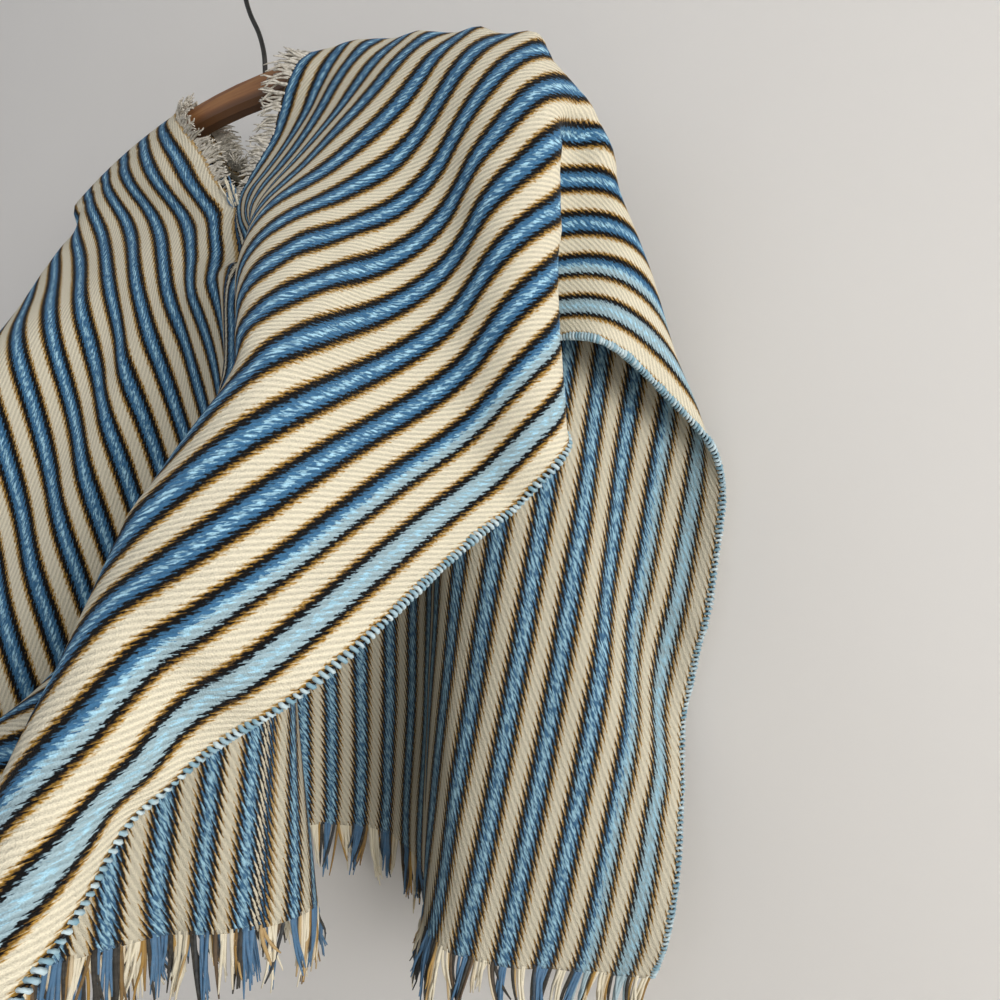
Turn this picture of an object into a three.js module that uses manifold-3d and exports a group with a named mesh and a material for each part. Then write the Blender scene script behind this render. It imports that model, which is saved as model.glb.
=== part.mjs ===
// A handwoven wool poncho hanging on a wooden coat hanger.
//
// The poncho is one rectangular panel with a straight slit for the head, its stripes running
// from the front hem over the shoulders to the back hem. Both hems end in warp fringe and the
// two slit edges in short weft fringe. The panel hangs over a curved wooden bar with a wire hook.
//
// Millimetres, +Z up, X along the hanger, -Y the front. The origin is the inside top of the
// hook's crook, where a nail or rail carries the hanger.

import * as THREE from "three";
import Module from "manifold-3d";

// ---------- the cut of the cloth ----------
const STRIPE_REPEAT = 24.3;
const HALF_WIDTH = 14 * STRIPE_REPEAT; // slit to selvedge
const HALF_LENGTH = 570; // shoulder line to either hem
const SLIT = 108; // shoulder line to either end of the slit
const CLOTH = 2; // thickness of the woven wool
const SEAM = 0.3; // clearance between neighbouring pieces

// ---------- the hanger ----------
const BAR_REACH = 226; // hook to where the cloth leaves the bar
const WOOD_REACH = 199; // hook to the tip of the wood, just short of that
const BAR_THICK = 13;
const BAR_HIGH = 21;
const BAR_SAG = 0.00105; // fall of the bar's top, per mm squared from the hook
const BAR_TIP_DROP = 2; // extra fall right at the tips
const WIRE = 3.4; // diameter of the hook's wire
const CROOK_RADIUS = 20; // to the wire's centre
const CROOK_RISE = 64; // from the bar's top to the middle of the crook
const BAR_TOP_Z = -(CROOK_RISE + CROOK_RADIUS - WIRE / 2); // bar's top under the hook

// ---------- how the cloth sits on the bar ----------
const NECK_RIGHT = 50; // where the slit's edges cross the bar, from the hook
const NECK_LEFT = -84;
const BAR_CLEAR = BAR_THICK / 2 + CLOTH / 2 + 0.7; // bar's core to the middle of the cloth
const SLIP = 70; // how far the right shoulder is pulled forward at the bar's tip
const SLIP_WITHIN = 187; // from the slit to where the slip is whole
const WALL_Y = 95; // the wall the back rests against
const INNER = 240; // across to here, the front and the back stay on their own side of the bar
const BELOW_SHOULDER = 160; // from this far below the shoulder line
const FRONT_Y = -12; // the front's middle stays before this
const BACK_Y = 4; // the back's middle stays behind this

// ---------- the drape ----------
const COLUMNS = 21; // cells from slit to selvedge
const ROWS = 38; // cells from shoulder line to hem
const STEPS = 300;
const PASSES = 12;
const KEEP_SPEED = 0.97;
const FALL = 0.04; // mm per step of gravity
const APART = 15; // folds stay this far from each other, measured between points
const SAME_FOLD = 34; // points closer than this on the flat cloth may come nearer
const LOOK_AGAIN = 10; // steps between looks for folds that come close

// How strongly the weave holds its lengths along weft, warp and bias, and keeps from bending.
const THREADS = [
  { name: "weft", across: 1, along: 0, hold: 1 },
  { name: "warp", across: 0, along: 1, hold: 1 },
  { name: "bias", across: 1, along: 1, hold: 0.3 },
  { name: "bias back", across: 1, along: -1, hold: 0.3 },
  { name: "weft bend", across: 2, along: 0, hold: 0.05 },
  { name: "warp bend", across: 0, along: 2, hold: 0.05 },
  { name: "wide weft bend", across: 4, along: 0, hold: 0.02 },
  { name: "wide warp bend", across: 0, along: 4, hold: 0.02 },
];

// The right front's crest turns back between these two distances below the shoulder line. Each
// row is a plane that the cloth stays behind: its direction, and its distance from the hook's foot.
const CREST_FROM = 100;
const CREST_TO = 330;
const CREST = [
  { at: "below the neck", x: 0.653, y: 0.7576, z: 0, least: -17.8 },
  { at: "swept forward", x: 0.4715, y: 0.682, z: -0.5615, least: 103 },
];

// Where points of the cloth lie once it hangs. half: 1 right, -1 left. across: from the slit's
// line towards the selvedge. along: from the shoulder line, front positive. x, y, z: from the
// bar's top under the hook. hold: how firmly.
const LIES = [
  { at: "neck front end", half: 1, across: 0, along: 108, x: -16, y: -8, z: -94, hold: 0.4 },
  { at: "neck back end", half: 1, across: 0, along: -108, x: -21, y: 18, z: -86, hold: 0.4 },
  { at: "neck front right", half: 1, across: 0, along: 54, x: 20, y: -9, z: -47, hold: 0.2 },
  { at: "neck front left", half: -1, across: 0, along: 54, x: -50, y: -9, z: -48, hold: 0.2 },
  { at: "neck back right", half: 1, across: 0, along: -54, x: 14, y: 12, z: -44, hold: 0.2 },
  { at: "neck back left", half: -1, across: 0, along: -54, x: -53, y: 12, z: -46, hold: 0.2 },

  { at: "back corner", half: 1, across: 340, along: -562, x: 257, y: 74, z: -580, hold: 0.12 },
  { at: "back selvedge low", half: 1, across: 340, along: -462, x: 272, y: 86, z: -495, hold: 0.06 },
  { at: "back selvedge mid", half: 1, across: 340, along: -335, x: 283, y: 92, z: -370, hold: 0.12 },
  { at: "arch foot", half: 1, across: 340, along: -216, x: 272, y: 90, z: -252, hold: 0.05 },
  { at: "arch back", half: 1, across: 340, along: -168, x: 253, y: 66, z: -223, hold: 0.12 },
  { at: "arch crown", half: 1, across: 340, along: -88, x: 243, y: -12, z: -203, hold: 0.12 },

  { at: "back hem outer", half: 1, across: 280, along: -570, x: 200, y: 39, z: -578, hold: 0.08 },
  { at: "back hem fold", half: 1, across: 205, along: -570, x: 135, y: 7, z: -570, hold: 0.08 },
  { at: "back hem hollow", half: 1, across: 150, along: -570, x: 100, y: 53, z: -565, hold: 0.08 },
  { at: "back hem middle", half: 1, across: 40, along: -570, x: -3, y: 78, z: -560, hold: 0.08 },

  { at: "ridge high", half: 1, across: 255, along: 10, x: 238, y: -16, z: -155, hold: 0.12 },
  { at: "ridge low", half: 1, across: 330, along: 80, x: 244, y: -34, z: -256, hold: 0.12 },
  { at: "pleat behind ridge", half: 1, across: 340, along: 0, x: 192, y: 6, z: -206, hold: 0.05 },
  { at: "front selvedge high", half: 1, across: 340, along: 135, x: 226, y: -44, z: -304, hold: 0.12 },

  { at: "sweep selvedge", half: 1, across: 340, along: 350, x: 145, y: -200, z: -416, hold: 0.12 },
  { at: "sweep middle", half: 1, across: 290, along: 305, x: 158, y: -209, z: -344, hold: 0.2 },
  { at: "sweep crest", half: 1, across: 243, along: 270, x: 140, y: -197, z: -304, hold: 0.3 },
  { at: "crest outer", half: 1, across: 200, along: 255, x: 120, y: -162, z: -279, hold: 0.3 },
  { at: "crest middle", half: 1, across: 85, along: 280, x: 75, y: -119, z: -255, hold: 0.3 },
  { at: "crest inner", half: 1, across: 24, along: 272, x: 41, y: -81, z: -226, hold: 0.1 },
  { at: "crest start", half: 1, across: 15, along: 208, x: 21, y: -46, z: -176, hold: 0.1 },

  { at: "front corner", half: 1, across: 340, along: 570, x: 60, y: -340, z: -520, hold: 0.05 },
  { at: "front hem outer", half: 1, across: 243, along: 570, x: -10, y: -360, z: -470, hold: 0.05 },
  { at: "front hem inner", half: 1, across: 49, along: 570, x: 46, y: -60, z: -560, hold: 0.05 },
  { at: "under the crest", half: 1, across: 175, along: 370, x: 100, y: -150, z: -360, hold: 0.15 },
  { at: "below the slit", half: 1, across: 0, along: 168, x: 2, y: -27, z: -135, hold: 0.2 },
  { at: "arch dome", half: 1, across: 300, along: -148, x: 258, y: 50, z: -180, hold: 0.1 },
  { at: "beyond the tip", half: 1, across: 245, along: -112, x: 246, y: 30, z: -120, hold: 0.1 },
];

const RIGHT = 1;
const LEFT = -1;

const barTop = (x) => -BAR_SAG * x * x - BAR_TIP_DROP * (Math.abs(x) / BAR_REACH) ** 6;

// How far along the warp the cloth's line over the bar has slipped from the shoulder line.
function slip(half, across) {
  return half === RIGHT ? -SLIP * Math.min(1, across / SLIP_WITHIN) ** 1.5 : 0;
}

// A sheet of points joined by threads, relaxed under its own weight.
function drapeSheet() {
  const cellAcross = HALF_WIDTH / COLUMNS;
  const cellAlong = HALF_LENGTH / ROWS;
  const slitRows = Math.round(SLIT / cellAlong);
  const lookup = new Map();
  const across = [];
  const along = [];
  const inHalf = [];
  const nameOf = (half, i, j) => (i === 0 && Math.abs(j) >= slitRows ? `0,${j}` : `${half * i},${j},${half}`);
  for (const half of [LEFT, RIGHT]) {
    for (let i = 0; i <= COLUMNS; i += 1) {
      for (let j = -ROWS; j <= ROWS; j += 1) {
        const name = nameOf(half, i, j);
        if (lookup.has(name)) continue;
        lookup.set(name, across.length);
        across.push(i * cellAcross);
        along.push(j * cellAlong);
        inHalf.push(half);
      }
    }
  }
  const at = (half, i, j) => lookup.get(nameOf(half, i, j));
  const count = across.length;
  const now = new Float64Array(3 * count);
  for (let k = 0; k < count; k += 1) now.set(startPlace(inHalf[k], across[k], along[k]), 3 * k);
  const before = Float64Array.from(now);
  const threads = layThreads(at, slitRows, cellAcross, cellAlong);
  const held = heldPoints(at, cellAcross, cellAlong);
  let close = [];
  for (let step = 0; step < STEPS; step += 1) {
    if (step % LOOK_AGAIN === 0) close = closePairs(now, across, along, inHalf);
    for (let k = 0; k < 3 * count; k += 1) {
      const speed = (now[k] - before[k]) * KEEP_SPEED;
      before[k] = now[k];
      now[k] += speed - (k % 3 === 2 ? FALL : 0);
    }
    for (let pass = 0; pass < PASSES; pass += 1) {
      for (const run of threads) pullThreads(now, run);
      holdPoints(now, held);
      keepApart(now, close);
      keepClear(now, inHalf, across, along, count);
    }
  }
  const point = (half, i, j) => {
    const k = 3 * at(half, i, j);
    return [now[k], now[k + 1], now[k + 2]];
  };
  return { point, slitRows, cellAcross, cellAlong };
}

// The sheet before it settles: both halves laid over the bar, the front wider than the back.
const START = {
  spread: 0.9, // share of its width that a half takes along the bar
  lean: 0.35, // how far its inner edge leans to the middle, per mm down
  leanWithin: 300,
  forward: 0.55, // how far the front stands out, per mm down
  back: 0.15,
  fall: 0.8,
};

function startPlace(half, across, along) {
  const down = Math.abs(along);
  const front = along > 0;
  const neck = half === RIGHT ? NECK_RIGHT : NECK_LEFT;
  const middle = (NECK_RIGHT + NECK_LEFT) / 2;
  const lean = half * Math.min(down, START.leanWithin) * START.lean * Math.exp(-across / START.leanWithin);
  const x = across === 0 && down >= SLIT - 1 ? middle : neck + half * across * START.spread - lean;
  const y = down * (front ? -START.forward : START.back);
  return [x, y, -BAR_SAG * x * x - down * START.fall];
}

// Threads in runs in which no point comes twice.
function layThreads(at, slitRows, cellAcross, cellAlong) {
  const runs = [];
  const seen = new Set();
  for (const { across, along, hold } of THREADS) {
    const rest = Math.sqrt((across * cellAcross) ** 2 + (along * cellAlong) ** 2);
    const bins = new Map();
    const lay = (bin, a, b) => {
      const name = a < b ? `${a}_${b}` : `${b}_${a}`;
      if (a === b || seen.has(name)) return;
      seen.add(name);
      if (!bins.has(bin)) bins.set(bin, []);
      bins.get(bin).push([a, b, rest, hold]);
    };
    for (const half of [LEFT, RIGHT]) {
      for (let i = 0; i + across <= COLUMNS; i += 1) {
        for (let j = -ROWS; j <= ROWS; j += 1) {
          if (Math.abs(j + along) > ROWS) continue;
          const turnAcross = across ? Math.floor(i / across) % 2 : 0;
          const turnAlong = along ? Math.floor((j + ROWS) / Math.abs(along)) % 2 : 0;
          lay(`${half},${turnAcross},${turnAlong}`, at(half, i, j), at(half, i + across, j + along));
        }
      }
    }
    for (let part = 1; part < across; part += 1) {
      for (let j = -ROWS; j <= ROWS; j += 1) {
        if (Math.abs(j) >= slitRows) lay("middle", at(LEFT, part, j), at(RIGHT, across - part, j));
      }
    }
    for (const run of bins.values()) runs.push(run);
  }
  return runs;
}

function pullThreads(now, run) {
  for (const [a, b, rest, hold] of run) {
    const p = 3 * a;
    const q = 3 * b;
    const dx = now[q] - now[p];
    const dy = now[q + 1] - now[p + 1];
    const dz = now[q + 2] - now[p + 2];
    const length = Math.sqrt(dx * dx + dy * dy + dz * dz);
    const pull = (0.5 * hold * (length - rest)) / length;
    now[p] += dx * pull;
    now[p + 1] += dy * pull;
    now[p + 2] += dz * pull;
    now[q] -= dx * pull;
    now[q + 1] -= dy * pull;
    now[q + 2] -= dz * pull;
  }
}

// The LIES table and the line over the bar, as shares of the four points round each place.
function heldPoints(at, cellAcross, cellAlong) {
  const held = [];
  const add = ({ half, across, along, x, y, z, hold }) => {
    const a = Math.min(across / cellAcross, COLUMNS);
    const b = Math.max(-ROWS, Math.min(ROWS, along / cellAlong));
    const i = Math.min(COLUMNS - 1, Math.floor(a));
    const j = Math.min(ROWS - 1, Math.floor(b));
    const s = a - i;
    const t = b - j;
    const corners = [
      { k: at(half, i, j), share: (1 - s) * (1 - t) },
      { k: at(half, i + 1, j), share: s * (1 - t) },
      { k: at(half, i, j + 1), share: (1 - s) * t },
      { k: at(half, i + 1, j + 1), share: s * t },
    ].filter((corner) => corner.share > 1e-6);
    const total = corners.reduce((sum, corner) => sum + corner.share * corner.share, 0);
    held.push({ corners, total, place: [x, y, z], hold });
  };
  for (const half of [LEFT, RIGHT]) {
    let x = half === RIGHT ? NECK_RIGHT : NECK_LEFT;
    for (let i = 0; Math.abs(x) < BAR_REACH; i += 1) {
      const across = i * cellAcross;
      const z = barTop(x) - BAR_THICK / 2 + BAR_CLEAR;
      add({ half, across, along: slip(half, across), x, y: 0, z, hold: 1 });
      for (let walked = 0; walked < cellAcross; walked += 1) {
        const slope = barTop(x + half) - barTop(x);
        x += half / Math.sqrt(1 + slope * slope);
      }
    }
  }
  LIES.forEach(add);
  return held;
}

function holdPoints(now, held) {
  const moves = held.map(({ corners, total, place, hold }) => place.map((want, c) => {
    const is = corners.reduce((sum, { k, share }) => sum + share * now[3 * k + c], 0);
    return (hold * (want - is)) / total;
  }));
  held.forEach(({ corners }, n) => {
    for (const { k, share } of corners) {
      for (let c = 0; c < 3; c += 1) now[3 * k + c] += share * moves[n][c];
    }
  });
}

// Pairs of points of different folds that are near each other.
function closePairs(now, across, along, inHalf) {
  const pairs = [];
  for (let a = 0; a < across.length; a += 1) {
    for (let b = a + 1; b < across.length; b += 1) {
      if (Math.abs(now[3 * a] - now[3 * b]) > 2 * APART) continue;
      if (Math.abs(now[3 * a + 1] - now[3 * b + 1]) > 2 * APART) continue;
      if (Math.abs(now[3 * a + 2] - now[3 * b + 2]) > 2 * APART) continue;
      const flat = Math.hypot(inHalf[a] * across[a] - inHalf[b] * across[b], along[a] - along[b]);
      if (flat > SAME_FOLD) pairs.push([a, b]);
    }
  }
  return pairs;
}

function keepApart(now, pairs) {
  for (const [a, b] of pairs) {
    const dx = now[3 * b] - now[3 * a];
    const dy = now[3 * b + 1] - now[3 * a + 1];
    const dz = now[3 * b + 2] - now[3 * a + 2];
    const away = Math.sqrt(dx * dx + dy * dy + dz * dz);
    if (away >= APART || away < 1e-6) continue;
    const push = (0.5 * (APART - away)) / away;
    [dx, dy, dz].forEach((d, c) => {
      now[3 * a + c] -= d * push;
      now[3 * b + c] += d * push;
    });
  }
}

// Off the wall and the bar, the front and the back clear of each other.
function keepClear(now, inHalf, across, along, count) {
  for (let k = 0; k < count; k += 1) {
    const p = 3 * k;
    now[p + 1] = Math.min(now[p + 1], WALL_Y);
    if (inHalf[k] === RIGHT && along[k] > CREST_FROM && along[k] < CREST_TO) keepInCrest(now, p);
    if (across[k] < INNER && along[k] > BELOW_SHOULDER) now[p + 1] = Math.min(now[p + 1], FRONT_Y);
    if (across[k] < INNER && along[k] < -BELOW_SHOULDER) now[p + 1] = Math.max(now[p + 1], BACK_Y);
    const clear = offBar(now[p], now[p + 1], now[p + 2]);
    now[p + 1] = clear[1];
    now[p + 2] = clear[2];
  }
}

// The right front turns back at its crest: one of the crest's two planes holds each point.
function keepInCrest(now, p) {
  const short = CREST.map(({ x, y, z, least }) => least - x * now[p] - y * now[p + 1] - z * now[p + 2]);
  if (Math.min(...short) <= 0) return;
  const n = short[0] < short[1] ? 0 : 1;
  now[p] += CREST[n].x * short[n];
  now[p + 1] += CREST[n].y * short[n];
  now[p + 2] += CREST[n].z * short[n];
}

// The nearest place to x, y, z that is clear of the bar.
function offBar(x, y, z) {
  const beyond = Math.max(0, Math.abs(x) - BAR_REACH + BAR_THICK / 2);
  if (beyond >= BAR_CLEAR) return [x, y, z];
  const top = barTop(Math.max(-BAR_REACH, Math.min(BAR_REACH, x))) - BAR_THICK / 2;
  const core = Math.max(top - BAR_HIGH + BAR_THICK, Math.min(top, z));
  const away = Math.sqrt(y * y + (z - core) * (z - core));
  const clear = Math.sqrt(BAR_CLEAR * BAR_CLEAR - beyond * beyond);
  if (away >= clear || away < 1e-6) return [x, y, z];
  return [x, (y * clear) / away, core + ((z - core) * clear) / away];
}

// ---------- a smooth surface through the settled sheet ----------
const sheet = drapeSheet();

function through(a, b, c, d, t) {
  return a.map((_, n) => 0.5 * (2 * b[n] + (c[n] - a[n]) * t
    + (2 * a[n] - 5 * b[n] + 4 * c[n] - d[n]) * t * t
    + (3 * b[n] - a[n] - 3 * c[n] + d[n]) * t * t * t));
}

const beyondEdge = (edge, inner) => edge.map((value, n) => 2 * value - inner[n]);

function sheetPoint(half, i, j) {
  const row = Math.max(-ROWS, Math.min(ROWS, j));
  if (row !== j) return beyondEdge(sheetPoint(half, i, row), sheetPoint(half, i, 2 * row - j));
  if (i > COLUMNS) return beyondEdge(sheetPoint(half, COLUMNS, j), sheetPoint(half, COLUMNS - 1, j));
  if (i >= 0) return sheet.point(half, i, j);
  if (Math.abs(j) >= sheet.slitRows) return sheet.point(-half, -i, j);
  return beyondEdge(sheet.point(half, 0, j), sheet.point(half, -i, j));
}

// The middle of the cloth at a place on the flat panel, from the hook's foot.
function clothAt(half, across, along) {
  const a = across / sheet.cellAcross;
  const b = along / sheet.cellAlong;
  const i = Math.max(0, Math.min(COLUMNS - 1, Math.floor(a)));
  const j = Math.max(-ROWS, Math.min(ROWS - 1, Math.floor(b)));
  const lines = [-1, 0, 1, 2].map((n) => through(
    sheetPoint(half, i + n, j - 1), sheetPoint(half, i + n, j),
    sheetPoint(half, i + n, j + 1), sheetPoint(half, i + n, j + 2), b - j));
  const [x, y, z] = offBar(...through(...lines, a - i));
  return new THREE.Vector3(x, y, z + BAR_TOP_Z);
}

// Directions at a place on the cloth: along the warp, across the weft and out of its right side.
function weaveAt(half, across, along) {
  const reach = 3;
  const from = Math.max(0, across - reach);
  const to = Math.min(HALF_WIDTH, across + reach);
  const low = Math.max(-HALF_LENGTH, along - reach);
  const high = Math.min(HALF_LENGTH, along + reach);
  const weft = clothAt(half, to, along).sub(clothAt(half, from, along)).multiplyScalar(half).normalize();
  const warp = clothAt(half, across, high).sub(clothAt(half, across, low)).normalize();
  const out = new THREE.Vector3().crossVectors(warp, weft).normalize();
  return { weft, warp, out };
}

// ---------- helpers for closed bodies ----------
function bodyFrom(vertices, faces) {
  const geometry = new THREE.BufferGeometry();
  const flat = new Float32Array(vertices.length * 3);
  vertices.forEach((vertex, n) => vertex.toArray(flat, 3 * n));
  geometry.setAttribute("position", new THREE.BufferAttribute(flat, 3));
  geometry.setIndex(faces.flat());
  geometry.computeVertexNormals();
  return geometry;
}

// Six times the volume inside closed faces, negative where they point in.
function volumeOf(vertices, faces) {
  return faces.reduce((sum, [a, b, c]) => sum + vertices[a].dot(vertices[b].clone().cross(vertices[c])), 0);
}

// A closed body through rings of equal count, its faces pointing out.
function loft(rings) {
  const sides = rings[0].length;
  const vertices = rings.flat();
  const faces = [];
  for (let ring = 0; ring + 1 < rings.length; ring += 1) {
    for (let n = 0; n < sides; n += 1) {
      const a = ring * sides + n;
      const b = ring * sides + ((n + 1) % sides);
      faces.push([a, b, b + sides], [a, b + sides, a + sides]);
    }
  }
  const last = (rings.length - 1) * sides;
  for (let n = 1; n + 1 < sides; n += 1) {
    faces.push([0, n + 1, n], [last, last + n, last + n + 1]);
  }
  if (volumeOf(vertices, faces) < 0) faces.forEach((face) => face.reverse());
  return bodyFrom(vertices, faces);
}

const wasm = await Module();
wasm.setup();

function solid(geometry) {
  return new wasm.Manifold(new wasm.Mesh({
    numProp: 3,
    vertProperties: geometry.getAttribute("position").array,
    triVerts: new Uint32Array(geometry.getIndex().array),
  }));
}

function joined(geometries) {
  const mesh = geometries.map(solid).reduce((whole, piece) => whole.add(piece)).getMesh();
  const geometry = new THREE.BufferGeometry();
  geometry.setAttribute("position", new THREE.BufferAttribute(new Float32Array(mesh.vertProperties), 3));
  geometry.setIndex(Array.from(mesh.triVerts));
  geometry.computeVertexNormals();
  return geometry;
}

// A number from 0 to 1 that differs from strand to strand.
const varied = (n) => {
  const wave = Math.sin(n * 127.1 + 11.7) * 43758.5453;
  return wave - Math.floor(wave);
};

// ---------- the woven panel ----------
const PANEL_COLUMNS = 17;
const NEAR_BAR = [0, 4, 8, 13, 21, 33, 50, 78]; // rows close together where the cloth bends over the bar
const ROW_STEP = 25.667; // the other rows, evenly from the slit's ends to the hems

function panelRows() {
  const rows = [...NEAR_BAR];
  for (let row = SLIT; row <= HALF_LENGTH + 0.1; row += ROW_STEP) rows.push(row);
  return [...rows.slice(1).reverse().map((row) => -row), ...rows];
}

// A row's place along the warp: it follows the bar near the bar and is straight at the hems.
const rowAlong = (half, across, row) => row + slip(half, across) * (1 - Math.abs(row) / HALF_LENGTH);

// Both halves as one sheet, joined below the slit's ends, given its thickness and closed all round.
function wovenPanel() {
  const rows = panelRows();
  const ids = new Map();
  const middle = [];
  const outward = [];
  const corner = (half, i, row) => {
    const name = i === 0 && Math.abs(row) >= SLIT ? `0,${row}` : `${half * i},${row},${half}`;
    if (!ids.has(name)) {
      const across = (i * HALF_WIDTH) / PANEL_COLUMNS;
      const along = rowAlong(half, across, row);
      ids.set(name, middle.length);
      middle.push(clothAt(half, across, along));
      outward.push(weaveAt(half, across, along).out.multiplyScalar(CLOTH / 2));
    }
    return ids.get(name);
  };
  const faces = [];
  const edges = new Map();
  for (const half of [LEFT, RIGHT]) {
    for (let i = 0; i < PANEL_COLUMNS; i += 1) {
      for (let r = 0; r + 1 < rows.length; r += 1) {
        const loop = [
          corner(half, i, rows[r]), corner(half, i + 1, rows[r]),
          corner(half, i + 1, rows[r + 1]), corner(half, i, rows[r + 1]),
        ];
        if (half === RIGHT) loop.reverse();
        faces.push([loop[0], loop[1], loop[2]], [loop[0], loop[2], loop[3]]);
        loop.forEach((a, n) => {
          const b = loop[(n + 1) % 4];
          if (!edges.delete(`${b}_${a}`)) edges.set(`${a}_${b}`, [a, b]);
        });
      }
    }
  }
  const count = middle.length;
  const outer = middle.map((point, n) => point.clone().add(outward[n]));
  const inner = middle.map((point, n) => point.clone().sub(outward[n]));
  const closed = [...faces, ...faces.map(([a, b, c]) => [a + count, c + count, b + count])];
  for (const [a, b] of edges.values()) closed.push([b, a, a + count], [b, a + count, b + count]);
  return bodyFrom([...outer, ...inner], closed);
}

// ---------- fringe ----------
const HEM_STRIP = 3; // depth of the strip in which the strands are rooted
const HEM_STRANDS = 60;
const HEM_FRINGE = 45;
const HEM_SWAY = 0.25; // how far the strands' ways differ
const HEM_ALONG = 0.55; // 0 hangs straight down, 1 carries on from the cloth
const HEM_YARN = 1.3; // radius of a bundle of warp ends at its root
const NECK_EASE = 0.5; // more clearance beside the slit, where the edge twists
const NECK_STRIP = 2.4;
const NECK_STRANDS = 24;
const NECK_FRINGE = 17;
const NECK_YARN = 0.9;

// A strip that carries on past an edge of the cloth. stations: {edge, on, out}, the edge's
// point, the direction away from the cloth and the direction out of the cloth's right side.
function edgeStrip(stations, depth) {
  const thick = CLOTH / 2;
  return loft(stations.map(({ edge, on, out }) => [[SEAM, 1], [depth, 1], [depth, -1], [SEAM, -1]]
    .map(([far, side]) => edge.clone().addScaledVector(on, far).addScaledVector(out, side * thick))));
}

const STRAND_THIN = 0.55; // share of its radius that a strand loses by its tip

// A three-sided strand along a path of points, thinning to its tip.
function strand(path, wide, twist) {
  const rings = path.map((point, n) => {
    const ahead = path[Math.min(n + 1, path.length - 1)].clone().sub(path[Math.max(0, n - 1)]).normalize();
    const side = new THREE.Vector3().crossVectors(ahead, new THREE.Vector3(0.3, 0.8, 0.52)).normalize();
    const other = new THREE.Vector3().crossVectors(ahead, side);
    const radius = wide * (1 - (STRAND_THIN * n) / (path.length - 1));
    return [0, 1, 2].map((corner) => {
      const angle = twist + (corner * 2 * Math.PI) / 3;
      return point.clone().addScaledVector(side, radius * Math.cos(angle))
        .addScaledVector(other, radius * Math.sin(angle));
    });
  });
  return loft(rings);
}

// The place a share t of the way along an edge, on the straight stretch between its stations.
function stationBetween(stations, t) {
  const far = t * (stations.length - 1);
  const n = Math.min(stations.length - 2, Math.floor(far));
  const blend = (key) => stations[n][key].clone().lerp(stations[n + 1][key], far - n);
  return { edge: blend("edge"), on: blend("on").normalize(), out: blend("out").normalize() };
}

// In the cloth's plane, square to its edge, on the side of away.
function squareTo(edgeway, out, away) {
  const square = edgeway.clone().cross(out).normalize();
  return square.dot(away) < 0 ? square.negate() : square;
}

// The warp ends below a hem: front (1) or back (-1).
function hemFringe(face) {
  const stations = [];
  for (let n = -PANEL_COLUMNS; n <= PANEL_COLUMNS; n += 1) {
    const half = n < 0 ? LEFT : RIGHT;
    const across = Math.abs(n) * (HALF_WIDTH / PANEL_COLUMNS);
    const { weft, warp, out } = weaveAt(half, across, face * HALF_LENGTH);
    const on = squareTo(weft, out, warp.multiplyScalar(face));
    stations.push({ edge: clothAt(half, across, face * HALF_LENGTH), on, out });
  }
  const pieces = [edgeStrip(stations, HEM_STRIP)];
  for (let n = 0; n < HEM_STRANDS; n += 1) {
    const { edge, on, out } = stationBetween(stations, (n + 0.5) / HEM_STRANDS);
    const sway = new THREE.Vector3(varied(n) - 0.5, varied(n + 70) - 0.5, 0).multiplyScalar(HEM_SWAY);
    const hang = new THREE.Vector3(0, 0, -1).lerp(on, HEM_ALONG).add(sway).normalize();
    const long = HEM_FRINGE * (0.8 + 0.3 * varied(n + 31));
    const root = edge.clone().addScaledVector(on, HEM_STRIP * 0.7);
    const bend = root.clone().addScaledVector(on, long * 0.3).addScaledVector(hang, long * 0.1);
    const tip = bend.clone().addScaledVector(hang, long * 0.6).addScaledVector(out, varied(n + 9) - 0.5);
    pieces.push(strand([root, bend, tip], HEM_YARN, varied(n + 50) * 2));
  }
  return joined(pieces);
}

// The frayed weft along one edge of the slit, from near its front end over the bar to the back.
function neckFringe(half) {
  const rows = panelRows().filter((row) => Math.abs(row) < SLIT);
  const stations = rows.map((row) => {
    const { weft, warp, out } = weaveAt(half, 0, row);
    const on = squareTo(warp, out, weft.multiplyScalar(-half));
    return { edge: clothAt(half, 0, row).addScaledVector(on, NECK_EASE), on, out };
  });
  const pieces = [edgeStrip(stations, NECK_STRIP)];
  for (let n = 0; n < NECK_STRANDS; n += 1) {
    const t = (n + 0.5) / NECK_STRANDS;
    const { edge, on, out } = stationBetween(stations, t);
    const room = 1 - Math.abs(2 * t - 1);
    const long = NECK_FRINGE * (0.4 + 0.5 * room + 0.3 * varied(n + 13));
    const root = edge.clone().addScaledVector(on, NECK_STRIP * 0.7);
    const tip = root.clone().addScaledVector(on, long);
    tip.addScaledVector(out, 1.5 + 2.5 * varied(n + 3));
    pieces.push(strand([root, tip], NECK_YARN, varied(n) * 2));
  }
  return joined(pieces);
}

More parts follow.
